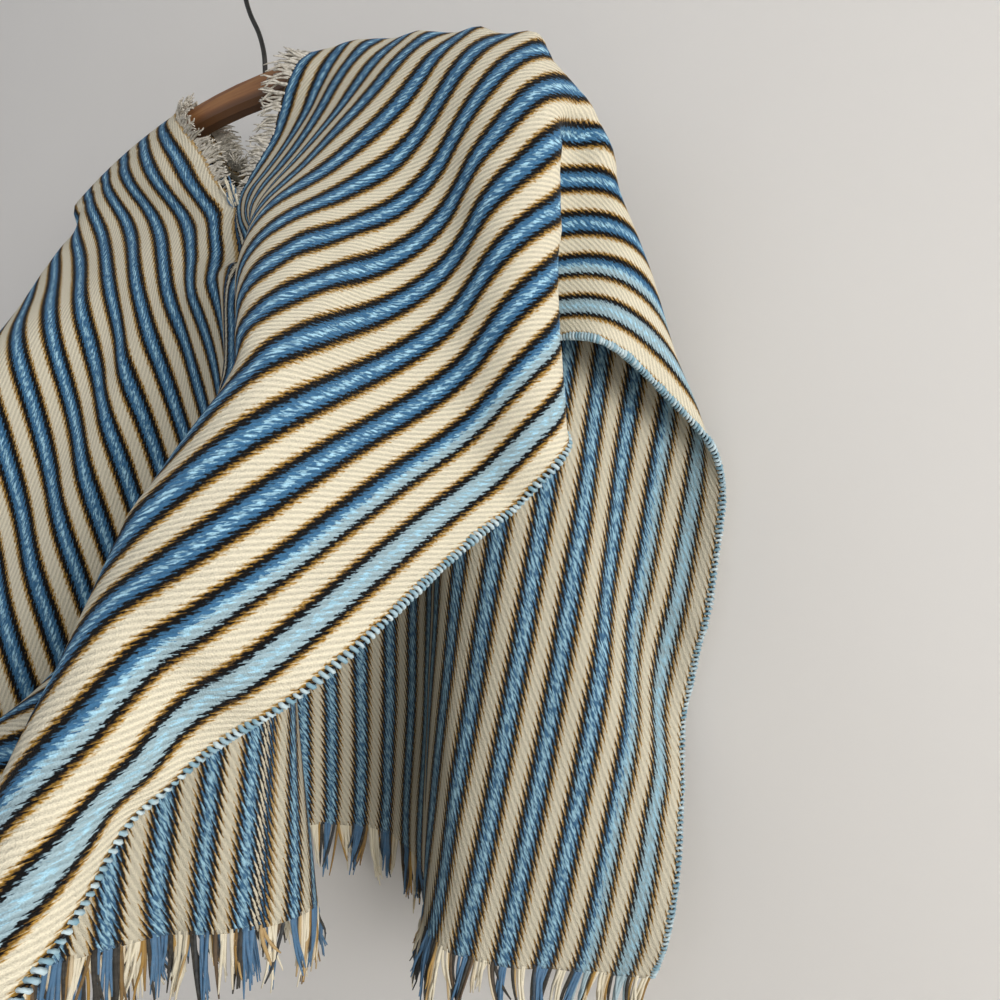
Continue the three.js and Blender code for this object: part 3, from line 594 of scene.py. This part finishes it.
def overcast_edge(name, half, material):
    """The yarn whipped over a selvedge from the front hem to the back."""
    turns = int(2 * HALF_LENGTH / WHIP_PITCH)
    t = np.linspace(0, turns, turns * WHIP_AROUND + 1)
    along = -HALF_LENGTH + 2 * HALF_LENGTH * t / turns
    angle = 2 * math.pi * t
    selvedge = np.full_like(along, HALF_WIDTH)
    edge = cloth_at(half, selvedge, along)
    weft, _, out = weave_at(half, selvedge, along, cloth_at)
    uneven = 1 + 0.15 * np.sin(along / 7.7) + 0.1 * np.sin(along / 3.1)
    outwards = (WHIP_INSET + WHIP_REACH * np.cos(angle)) * uneven
    upwards = WHIP_REACH * np.sin(angle) * uneven
    path = edge + weft * half * outwards[:, None] + out * upwards[:, None]
    radius = WHIP_YARN + 0.12 * np.sin(along / 2.3)
    points, faces = yarns(path[None], radius[None])
    flat = np.stack([np.full_like(along, half * 338.0), along], 1)
    return mesh_object(name, points, faces, np.repeat(flat, YARN_SIDES, axis=0), [material])


STRAND_RINGS = 9
share = np.linspace(0, 1, STRAND_RINGS)  # how far down a strand each of its points is
DOWN = np.array([0, 0, -1.0])


def strands(name, paths, radii, flats, material):
    points, faces = yarns(np.array(paths), np.array(radii))
    flat = np.repeat(np.array(flats).reshape(-1, 2), YARN_SIDES, axis=0)
    return mesh_object(name, points, faces, flat, [material])


HEM_STRANDS = 700
HEM_YARN = 1.05
HEM_LONG = 45
HEM_SHORTEST = 22
HEM_LONGEST = 58
HEM_ROOT = 2  # how far into the cloth the strands begin
LOCK = 9.5  # width of a lock of strands that cling together


def lock_of(place):
    return np.floor((place + 4 * np.sin(place / 13)) / LOCK)


def hem_fringe(name, face, material):
    """Warp ends below a hem, front (1) or back (-1), hanging in loose locks."""
    flat_across = np.sort(rng.uniform(-HALF_WIDTH + 0.6, HALF_WIDTH - 0.6, HEM_STRANDS))
    lock = lock_of(flat_across)
    sway = {k: rng.normal(0, 1, 3) for k in np.unique(lock)}
    centre = {k: flat_across[lock == k].mean() for k in np.unique(lock)}
    paths, radii, flats = [], [], []
    for half in (LEFT, RIGHT):
        mine = flat_across[np.sign(flat_across) == half]
        here = abs(mine)
        hem = np.full_like(here, face * HALF_LENGTH)
        edge = cloth_at(half, here, hem)
        weft, warp, out = weave_at(half, here, hem - face * HEM_ROOT, cloth_at)
        on = warp * face
        for n, place in enumerate(mine):
            key = lock_of(place)
            together = (centre[key] - place) * weft[n] * 0.55
            down = unit(0.62 * on[n] + 0.38 * DOWN)
            long = HEM_LONG * (0.72 + 0.12 * rng.normal() + 0.1 * sway[key][2])
            long = min(HEM_LONGEST, max(HEM_SHORTEST, long))
            lean = weft[n] * sway[key][0] * 5 + out[n] * sway[key][1] * 4
            loose = rng.normal(0, 1.6, 3)
            curl = out[n] * rng.normal(0, 1.0)
            root = edge[n] - on[n] * HEM_ROOT + out[n] * rng.uniform(-0.5, 0.5)
            bend = on[n] * (1 - share)[:, None] + down * share[:, None]
            spread = (share ** 1.5)[:, None] * (together + lean + loose)
            wave = np.sin(share * 9 + place)[:, None] * curl * share[:, None]
            paths.append(root + share[:, None] * long * bend + spread + wave)
            radii.append(HEM_YARN * (1 - 0.6 * share ** 3) * rng.uniform(0.8, 1.15))
            flats.append(np.stack([np.full(STRAND_RINGS, place), face * HALF_LENGTH + share * long], 1))
    return strands(name, paths, radii, flats, material)


NECK_STRANDS = 300
NECK_YARN = 0.85
NECK_ROOT = 1.5


def neck_fringe(name, half, material):
    """Weft ends frayed out along one edge of the slit."""
    along = np.sort(rng.uniform(-SLIT + 3, SLIT - 3, NECK_STRANDS))
    edge = cloth_at(half, np.zeros_like(along), along)
    weft, warp, out = weave_at(half, np.zeros_like(along), along, cloth_at)
    paths, radii, flats = [], [], []
    for n in range(NECK_STRANDS):
        room = min(1, (SLIT - abs(along[n])) / 45)
        long = (8 + 9 * room) * rng.uniform(0.7, 1.25)
        on = -weft[n] * half
        drop = DOWN * rng.uniform(0.1, 0.7) + warp[n] * rng.normal(0, 0.3)
        up = out[n] * rng.uniform(0.05, 0.5)
        curl = warp[n] * rng.normal(0, 1.0) + out[n] * rng.normal(0, 0.6)
        root = edge[n] - on * NECK_ROOT + out[n] * rng.uniform(-0.6, 0.6)
        bend = share[:, None] * long * (on + up) + (share ** 2)[:, None] * long * 0.5 * drop
        wave = np.sin(share * 8 + n)[:, None] * curl * share[:, None]
        paths.append(root + bend + wave)
        radii.append(NECK_YARN * (1 - 0.5 * share ** 3) * rng.uniform(0.75, 1.1))
        flats.append(np.stack([np.full(STRAND_RINGS, 5.0 + n), along[n] + share * long], 1))
    return strands(name, paths, radii, flats, material)


LOOSE_ENDS = 14  # at each end of the slit
LOOSE_ON_LEFT = 8
LOOSE_YARN = 0.8
BLUE_STRIPE = 29.0  # a place across the cloth in a blue stripe
CREAM_STRIPE = 42.0


def broken_warp(name, material):
    """Warp ends that stand loose at the two ends of the slit, where the strip was frayed out."""
    paths, radii, flats = [], [], []
    for face in (1, -1):
        at_end = np.array([face * (SLIT + 1.0)])
        for n in range(LOOSE_ENDS):
            half = LEFT if n < LOOSE_ON_LEFT else RIGHT
            place = np.array([rng.uniform(0.3, 5)])
            start = cloth_at(half, place, at_end)[0]
            weft, warp, out = (d[0] for d in weave_at(half, place, at_end, cloth_at))
            long = rng.uniform(9, 20)
            reach = share[:, None] * long * (-warp * face + 0.35 * out)
            bend = (share ** 2)[:, None] * (weft * rng.normal(0, 3) + out * rng.uniform(0, 4))
            wave = np.sin(share * 7 + n)[:, None] * weft * 0.8
            paths.append(start + out * 1.2 + reach + bend + wave)
            radii.append(LOOSE_YARN * (1 - 0.5 * share ** 3))
            stripe = BLUE_STRIPE if n % 2 else CREAM_STRIPE
            flats.append(np.stack([np.full(STRAND_RINGS, stripe), share * long], 1))
    return strands(name, paths, radii, flats, material)


# ---------- materials ----------
def paint(code):
    """A hex colour as it looks, in linear light."""
    def channel(at):
        c = int(code[at:at + 2], 16) / 255
        return c / 12.92 if c <= 0.04045 else ((c + 0.055) / 1.055) ** 2.4
    return channel(1), channel(3), channel(5), 1.0


def add(tree, kind, settings, *inputs, out=0, **more):
    """A node with its settings, fed in order with values or links; more names inputs, or i and a number."""
    made = tree.nodes.new("ShaderNode" + kind)
    for name, value in settings.items():
        setattr(made, name, value)
    fed = list(enumerate(inputs))
    fed += [(int(name[1:]) if name[1:].isdigit() else name, value) for name, value in more.items()]
    for name, value in fed:
        if isinstance(value, bpy.types.NodeSocket):
            tree.links.new(value, made.inputs[name])
        else:
            made.inputs[name].default_value = value
    return made.outputs[out]


PLUS, MINUS = {"operation": "ADD"}, {"operation": "SUBTRACT"}
TIMES, OVER = {"operation": "MULTIPLY"}, {"operation": "DIVIDE"}
SIZE, LARGER = {"operation": "ABSOLUTE"}, {"operation": "MAXIMUM"}
ABOVE, BELOW = {"operation": "GREATER_THAN"}, {"operation": "LESS_THAN"}
REST, WAVE = {"operation": "FRACT"}, {"operation": "SINE"}
SOFTLY = {"interpolation_type": "SMOOTHSTEP"}
BLEND = {"data_type": "RGBA", "blend_type": "MIX"}
DARKEN = {"data_type": "RGBA", "blend_type": "MULTIPLY"}


def with_stops(colours, stops):
    """A colour ramp's output once its (place, colour) stops are laid."""
    elements = colours.node.color_ramp.elements
    elements[0].position, elements[0].color = stops[0][0], paint(stops[0][1])
    elements[1].position, elements[1].color = stops[-1][0], paint(stops[-1][1])
    for place, code in stops[1:-1]:
        elements.new(place).color = paint(code)
    return colours


def uneven(tree, x, y, wide, long, detail, layer):
    """Slight differences over the flat cloth, in patches of the given width and length."""
    across, along = add(tree, "Math", OVER, x, wide), add(tree, "Math", OVER, y, long)
    place = add(tree, "CombineXYZ", {}, across, along, layer)
    return add(tree, "TexNoise", {}, Vector=place, Scale=1.0, Detail=detail, Roughness=0.55)


def new_finish(name):
    """A new material, its tree and its surface."""
    material = bpy.data.materials.new(name)
    material.use_nodes = True
    return material, material.node_tree, material.node_tree.nodes["Principled BSDF"]


def flat_place(tree):
    """Across from the slit and along from the shoulder line, on the flat cloth."""
    parts = add(tree, "SeparateXYZ", {}, add(tree, "UVMap", {"uv_map": "flat"})).node.outputs
    return parts[0], parts[1]


BLACK = "#0d0c0c"
BROWN = "#4d3820"
GOLD = "#ad8536"
CREAM = "#e7dfc8"
DARK_BLUE = "#1c2a36"
BLUE = "#41729a"
LIGHT_BLUE = "#aedcf2"
PALE_BLUE = "#a2bbc5"
SHADOW = "#3f3e3b"

# One repeat of the warp, from slit to selvedge.
STRIPES = (
    (0.0, BLACK), (0.032, BLACK), (0.047, DARK_BLUE), (0.085, BLUE), (0.35, BLUE), (0.38, DARK_BLUE),
    (0.396, BLACK), (0.457, BLACK), (0.474, BROWN), (0.52, GOLD), (0.58, CREAM), (0.85, CREAM),
    (0.902, GOLD), (0.94, BROWN), (0.956, BLACK), (1.0, BLACK),
)
BLUE_MIDDLE = 0.215
PALE_FROM = 12.21  # repeats from the slit to where the blue is a pale one

# The strip between the two edges of the slit, closed up below it.
BETWEEN = (
    (0.0, GOLD), (0.07, BROWN), (0.14, BLACK), (0.2, DARK_BLUE), (0.3, BLUE), (0.42, DARK_BLUE),
    (0.5, BLACK), (0.56, BROWN), (0.64, CREAM), (0.82, CREAM), (0.9, BROWN), (0.96, BLACK), (1.0, BLACK),
)
STRIP_HALF = 4.5
STRIP_FROM = SLIT - 2.0
STRIP_WHOLE = SLIT + 22.0
SQUEEZED = 34.0  # the stripes beside the strip make room for it within this
LEFT_EDGE = 2.0
LEFT_BEGINS = 12.9  # how far into a repeat the left half begins

# The twill's ribs: how far a step across and a step along the cloth go over them.
OVER_RIBS = 0.84
UP_RIBS = 0.54


def stripe_phase(tree, u, v):
    """Repeats of the stripes from the slit; whether a place is in the strip between, and where."""
    far = add(tree, "Math", SIZE, u)
    opened = add(tree, "MapRange", SOFTLY, add(tree, "Math", SIZE, v), STRIP_FROM, STRIP_WHOLE)
    room = add(tree, "Math", TIMES, STRIP_HALF, opened)
    past = add(tree, "Math", MINUS, far, room)
    left_over = add(tree, "Math", MINUS, 1.0, add(tree, "Math", OVER, past, SQUEEZED))
    squeeze = add(tree, "Math", LARGER, 0.0, left_over)
    across = add(tree, "Math", MINUS, far, add(tree, "Math", TIMES, room, squeeze))
    right = add(tree, "Math", OVER, across, STRIPE_REPEAT)
    from_edge = add(tree, "Math", LARGER, add(tree, "Math", MINUS, across, LEFT_EDGE), 0.0)
    left = add(tree, "Math", OVER, add(tree, "Math", PLUS, from_edge, LEFT_BEGINS), STRIPE_REPEAT)
    on_right = add(tree, "Math", ABOVE, u, 0.0)
    on_left = add(tree, "Math", MINUS, 1.0, on_right)
    right, left = add(tree, "Math", TIMES, right, on_right), add(tree, "Math", TIMES, left, on_left)
    phase = add(tree, "Math", LARGER, add(tree, "Math", PLUS, right, left), 0.0)
    inside = add(tree, "Math", BELOW, past, 0.0)
    strip = add(tree, "Math", PLUS, add(tree, "Math", TIMES, room, 2.0), 0.01)
    within = add(tree, "Math", PLUS, 0.5, add(tree, "Math", OVER, u, strip))
    return phase, inside, within


def over_and_on_ribs(tree, u, v):
    """Distance over the twill's ribs and along them."""
    over = add(tree, "Math", TIMES, u, OVER_RIBS), add(tree, "Math", TIMES, v, UP_RIBS)
    on = add(tree, "Math", TIMES, v, OVER_RIBS), add(tree, "Math", TIMES, u, UP_RIBS)
    return add(tree, "Math", PLUS, *over), add(tree, "Math", MINUS, *on)


def stripe_colours(tree, u, v, over, on, side):
    """The warp's stripes, their edges jagged with every rib, light flecks in the blues."""
    saw = add(tree, "Math", REST, add(tree, "Math", OVER, over, side["rib"]))
    saw = add(tree, "Math", TIMES, add(tree, "Math", MINUS, saw, 0.5), side["jag"])
    fine = add(tree, "Math", MINUS, uneven(tree, over, on, 0.8, 2.0, 1.0, 0.0), 0.5)
    slow = add(tree, "Math", MINUS, uneven(tree, u, v, 26.0, 70.0, 0.0, 5.0), 0.5)
    ragged = add(tree, "Math", PLUS, saw, add(tree, "Math", TIMES, fine, 3.6))
    wandering = add(tree, "Math", PLUS, add(tree, "Math", TIMES, slow, 1.6), u)
    phase, inside, within = stripe_phase(tree, add(tree, "Math", PLUS, ragged, wandering), v)
    t = add(tree, "Math", REST, phase)
    colour = with_stops(add(tree, "ValToRGB", {}, t), STRIPES)
    past_blue = add(tree, "Math", MINUS, 1.0, add(tree, "MapRange", SOFTLY, t, 0.36, 0.4))
    in_blue = add(tree, "Math", TIMES, add(tree, "MapRange", SOFTLY, t, 0.035, 0.08), past_blue)
    pale = add(tree, "Math", TIMES, in_blue, add(tree, "Math", ABOVE, phase, PALE_FROM))
    colour = add(tree, "Mix", BLEND, pale, i6=colour, i7=paint(PALE_BLUE), out=2)
    streak = add(tree, "MapRange", SOFTLY, uneven(tree, over, on, 1.2, 5.5, 1.0, 9.0), 0.38, 0.6)
    off_middle = add(tree, "Math", SIZE, add(tree, "Math", MINUS, t, BLUE_MIDDLE))
    middle = add(tree, "Math", MINUS, 1.0, add(tree, "Math", TIMES, off_middle, side["narrow"]))
    fleck = add(tree, "Math", TIMES, streak, add(tree, "MapRange", SOFTLY, middle, 0.0, 0.6))
    colour = add(tree, "Mix", BLEND, fleck, i6=colour, i7=paint(LIGHT_BLUE), out=2)
    between = with_stops(add(tree, "ValToRGB", {}, within), BETWEEN)
    return add(tree, "Mix", BLEND, inside, i6=colour, i7=between, out=2)


# How each side of the twill is drawn: the width of a rib, which is about 1.8 mm and would be too
# fine to show, how far the stripes' edges jump with it, how narrow a band the light flecks keep
# to, and how far its colour is pulled towards a dark grey: on the wrong side this is partly its
# duller yarn and partly painted shade, as the back is seen in shadow under the arch.
RIGHT_SIDE = {"rib": 2.5, "jag": 1.5, "narrow": 13.0, "dull": 0.0}
WRONG_SIDE = {"rib": 3.4, "jag": 4.0, "narrow": 6.5, "dull": 0.22}


def woven_wool(name, side):
    """Dense twill of two-ply wool, as it comes off the loom.

    Its stripes are jagged where every rib steps over them, more so on the wrong side, which is
    also duller and is darkened further with painted shade, as it is seen under the arch. The ribs
    stand up as a fine slanting cord, and painted shade darkens the grooves between them. Loose
    fibre makes it matt all over.
    """
    material, tree, shader = new_finish(name)
    u, v = flat_place(tree)
    over, on = over_and_on_ribs(tree, u, v)
    colour = stripe_colours(tree, u, v, over, on, side)
    cord = add(tree, "Math", WAVE, add(tree, "Math", TIMES, over, 2 * math.pi / side["rib"]))
    rib = add(tree, "Math", TIMES, add(tree, "Math", PLUS, cord, 1.0), 0.5)
    lump = uneven(tree, over, on, 0.9, 2.4, 1.0, 2.0)
    fuzz = uneven(tree, u, v, 0.6, 0.6, 0.0, 7.0)
    hairy = add(tree, "Math", TIMES, fuzz, 0.3), add(tree, "Math", TIMES, lump, 0.18)
    # Painted shade: the rib term darkens the grooves between the twill's ribs; fuzz and lump are the yarn's
    # own uneven tone.
    shade = add(tree, "Math", PLUS, add(tree, "Math", TIMES, rib, 0.26), add(tree, "Math", PLUS, *hairy))
    shade = add(tree, "Math", PLUS, 0.55, shade)
    grey = add(tree, "CombineColor", {}, shade, shade, shade)
    colour = add(tree, "Mix", DARKEN, 1.0, i6=colour, i7=grey, out=2)
    # On the wrong side the colour is pulled towards SHADOW: partly its duller yarn, partly painted shade for
    # the back seen under the arch.
    if side["dull"]:
        colour = add(tree, "Mix", BLEND, side["dull"], i6=colour, i7=paint(SHADOW), out=2)
    tree.links.new(colour, shader.inputs["Base Color"])
    shader.inputs["Roughness"].default_value = 0.92
    shader.inputs["Specular IOR Level"].default_value = 0.15
    shader.inputs["Sheen Weight"].default_value = 0.05
    shader.inputs["Sheen Roughness"].default_value = 0.6
    nap = add(tree, "Math", TIMES, lump, 1.1), add(tree, "Math", TIMES, fuzz, 0.6)
    height = add(tree, "Math", PLUS, add(tree, "Math", TIMES, rib, 0.4), add(tree, "Math", PLUS, *nap))
    bump = add(tree, "Bump", {}, Strength=0.8, Distance=0.0007, Height=height)
    tree.links.new(bump, shader.inputs["Normal"])
    return material


def spun_yarn(name, light, dark=None):
    """Soft plied wool, matt and mottled along the yarn; in its stripe's colour where dark isn't given."""
    material, tree, shader = new_finish(name)
    u, v = flat_place(tree)
    mottle = uneven(tree, u, v, 1.4, 3.0, 3.0, 3.0)
    if dark:
        mottle = add(tree, "MapRange", SOFTLY, mottle, 0.35, 0.65)
        colour = add(tree, "Mix", BLEND, mottle, i6=paint(dark), i7=paint(light), out=2)
    else:
        phase, _, _ = stripe_phase(tree, u, 0.0)
        t = add(tree, "Math", REST, phase)
        in_blue, far_out = add(tree, "Math", BELOW, t, 0.4), add(tree, "Math", ABOVE, phase, PALE_FROM)
        pale = add(tree, "Math", TIMES, in_blue, far_out)
        colour = with_stops(add(tree, "ValToRGB", {}, t), STRIPES)
        colour = add(tree, "Mix", BLEND, pale, i6=colour, i7=paint(PALE_BLUE), out=2)
        worn = add(tree, "Math", TIMES, mottle, 0.16)
        colour = add(tree, "Mix", BLEND, worn, i6=colour, i7=paint(light), out=2)
    tree.links.new(colour, shader.inputs["Base Color"])
    shader.inputs["Roughness"].default_value = 0.95
    shader.inputs["Specular IOR Level"].default_value = 0.15
    shader.inputs["Sheen Weight"].default_value = 0.06
    ply = uneven(tree, u, v, 0.9, 1.1, 3.0, 0.0)
    bump = add(tree, "Bump", {}, Strength=0.6, Distance=0.0005, Height=ply)
    tree.links.new(bump, shader.inputs["Normal"])
    return material


GRAIN_ALONG = 12.0  # grain lines per metre: long along the bar, a few millimetres through it
GRAIN_THROUGH = 160.0
GRAIN_UP = 220.0
BAR_CURVE = 1.05  # the bar's fall in metres, per metre squared
BAR_FOOT = -0.0995  # low on the bar's side, where the wood is darker towards the bottom
BAR_SIDE = -0.0945
KNOT = (0.0095, -0.0055, -0.1012)
KNOT_WIDE = 0.003


def hanger_wood(name):
    """Beech, stained and worn satin: grain along the bar, darker low on its sides, one small knot."""
    material, tree, shader = new_finish(name)
    place = add(tree, "TexCoord", {}, out="Object")
    x, y, z = add(tree, "SeparateXYZ", {}, place).node.outputs
    fall = add(tree, "Math", TIMES, add(tree, "Math", TIMES, x, x), BAR_CURVE)
    level = add(tree, "Math", PLUS, z, fall)
    lines = (
        add(tree, "Math", TIMES, x, GRAIN_ALONG),
        add(tree, "Math", TIMES, y, GRAIN_THROUGH),
        add(tree, "Math", TIMES, level, GRAIN_UP),
    )
    stretched = add(tree, "CombineXYZ", {}, *lines)
    grain = add(tree, "TexNoise", {}, Vector=stretched, Scale=1.0, Detail=5.0, Roughness=0.6)
    bands = add(tree, "MapRange", SOFTLY, grain, 0.3, 0.75)
    colour = add(tree, "Mix", BLEND, bands, i6=paint("#7b4c2a"), i7=paint("#a87848"), out=2)
    low = add(tree, "Math", MINUS, 1.0, add(tree, "MapRange", SOFTLY, level, BAR_FOOT, BAR_SIDE))
    colour = add(tree, "Mix", BLEND, low, i6=colour, i7=paint("#603f24"), out=2)
    to_knot = add(tree, "VectorMath", {"operation": "DISTANCE"}, place, KNOT, out="Value")
    to_knot = add(tree, "Math", OVER, to_knot, KNOT_WIDE)
    knot = add(tree, "Math", MINUS, 1.0, add(tree, "MapRange", SOFTLY, to_knot, 0.4, 1.0))
    colour = add(tree, "Mix", BLEND, knot, i6=colour, i7=paint("#22170f"), out=2)
    tree.links.new(colour, shader.inputs["Base Color"])
    shader.inputs["Roughness"].default_value = 0.5
    bump = add(tree, "Bump", {}, Strength=0.3, Distance=0.0003, Height=grain)
    tree.links.new(bump, shader.inputs["Normal"])
    return material


def hook_wire(name):
    """Bare drawn steel wire gone dark with age: a dull, slightly blotched shine."""
    material, tree, shader = new_finish(name)
    place = add(tree, "TexCoord", {}, out="Object")
    stain = add(tree, "TexNoise", {}, Vector=place, Scale=300.0, Detail=4.0)
    colour = add(tree, "Mix", BLEND, stain, i6=paint("#2f2f2e"), i7=paint("#5b5955"), out=2)
    tree.links.new(colour, shader.inputs["Base Color"])
    shader.inputs["Metallic"].default_value = 0.9
    dull = add(tree, "MapRange", {}, stain, i3=0.32, i4=0.5)
    tree.links.new(dull, shader.inputs["Roughness"])
    return material


def plaster(name, code):
    """Matt painted plaster, very faintly uneven, with nothing to see from behind it."""
    material, tree, shader = new_finish(name)
    place = add(tree, "TexCoord", {}, out="Object")
    patchy = add(tree, "TexNoise", {}, Vector=place, Scale=3.0, Detail=3.0)
    faint = add(tree, "Math", TIMES, patchy, 0.15)
    colour = add(tree, "Mix", BLEND, faint, i6=paint(code), i7=paint("#c9c3bb"), out=2)
    tree.links.new(colour, shader.inputs["Base Color"])
    shader.inputs["Roughness"].default_value = 0.95
    behind = add(tree, "NewGeometry", {}, out="Backfacing")
    seen = add(tree, "MixShader", {}, behind, shader.outputs[0], add(tree, "BsdfTransparent", {}))
    tree.links.new(seen, tree.nodes["Material Output"].inputs["Surface"])
    return material


# ---------- the pieces ----------
ROOT = "root"


def piece(made, slot, *stands_for):
    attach(made, ROOT)
    if stands_for:
        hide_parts(*stands_for)
    return made


right_side = woven_wool("wool_twill_right_side", RIGHT_SIDE)
wrong_side = woven_wool("wool_twill_wrong_side", WRONG_SIDE)
panel = piece(woven_panel([right_side, wrong_side]), "woven_wool", "woven_panel")
whipping = spun_yarn("pale_blue_whipping_yarn", "#cbdde3", "#82a8ba")
edge_right = piece(overcast_edge("overcast_selvedge_right", RIGHT, whipping), "woven_wool")
edge_left = piece(overcast_edge("overcast_selvedge_left", LEFT, whipping), "woven_wool")
warp_yarn = spun_yarn("striped_warp_yarn", "#dcd6ca")
hem_front = piece(hem_fringe("warp_fringe_front", 1, warp_yarn), "hem_yarn_front", "fringe_front_hem")
hem_back = piece(hem_fringe("warp_fringe_back", -1, warp_yarn), "hem_yarn_back", "fringe_back_hem")
weft_yarn = spun_yarn("cream_weft_yarn", "#e4dfd4", "#bdb7aa")
neck_right = piece(neck_fringe("weft_fringe_right", RIGHT, weft_yarn), "neck_yarn_right", "fringe_neck_right")
neck_left = piece(neck_fringe("weft_fringe_left", LEFT, weft_yarn), "neck_yarn_left", "fringe_neck_left")
loose_ends = piece(broken_warp("loose_warp_ends", warp_yarn), "woven_wool")

finishes = {"hanger_bar": hanger_wood("stained_beech"), "hanger_hook": hook_wire("dark_steel_wire")}
for node_name, finish in finishes.items():
    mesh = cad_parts[node_name].data
    mesh.materials.clear()
    mesh.materials.append(finish)


# ---------- the wall, the light and the camera ----------
WALL_FACE = 0.109  # just behind the cloth, where the hem and the yarns touch it
WALL_TOP = 2.5
FLOOR_TOP = -0.98
ROOM = 4


def board(name, corners, material):
    mesh = bpy.data.meshes.new(name)
    mesh.from_pydata(corners, [], [(0, 1, 2, 3)])
    mesh.materials.append(material)
    made = bpy.data.objects.new(name, mesh)
    bpy.context.scene.collection.objects.link(made)
    return made


def soft_light(name, at, size, power, code):
    """A square of light aimed at the middle of the cloth."""
    data = bpy.data.lights.new(name, "AREA")
    data.shape = "SQUARE"
    data.size = size
    data.energy = power
    data.color = paint(code)[:3]
    made = bpy.data.objects.new(name, data)
    made.location = at
    made.rotation_euler = (Vector((0, 0, -0.4)) - Vector(at)).to_track_quat("-Z", "Y").to_euler()
    bpy.context.scene.collection.objects.link(made)


foot_left, foot_right = (-ROOM, WALL_FACE, FLOOR_TOP), (ROOM, WALL_FACE, FLOOR_TOP)
top_left, top_right = (-ROOM, WALL_FACE, WALL_TOP), (ROOM, WALL_FACE, WALL_TOP)
near_left, near_right = (-ROOM, -ROOM, FLOOR_TOP), (ROOM, -ROOM, FLOOR_TOP)
wall = board("wall", [foot_left, foot_right, top_right, top_left], plaster("painted_wall", "#f1efec"))
floor = board("floor", [near_left, near_right, foot_right, foot_left], plaster("painted_floor", "#dcd8d2"))

soft_light("window", (2.3, -1.2, -0.15), 1.2, 45, "#fffcf8")
soft_light("sky_fill", (-1.0, -1.9, 1.0), 2.0, 7, "#f2f5ff")
world = bpy.data.worlds.new("room")
world.use_nodes = True
daylight = world.node_tree.nodes["Background"]
daylight.inputs[0].default_value = paint("#dfe2e6")
daylight.inputs[1].default_value = 0.3
bpy.context.scene.world = world
bpy.context.scene.view_settings.view_transform = "Standard"

CAMERA_AT = (0.401, -0.369, -0.3773)
CAMERA_LOOKS = (-0.5, 0.866, 0.0)
camera = bpy.data.cameras.new("camera")
camera.lens = 27
camera.sensor_width = 36
shot = bpy.data.objects.new("camera", camera)
shot.location = CAMERA_AT
shot.rotation_euler = Vector(CAMERA_LOOKS).to_track_quat("-Z", "Y").to_euler()
bpy.context.scene.collection.objects.link(shot)
bpy.context.scene.camera = shot
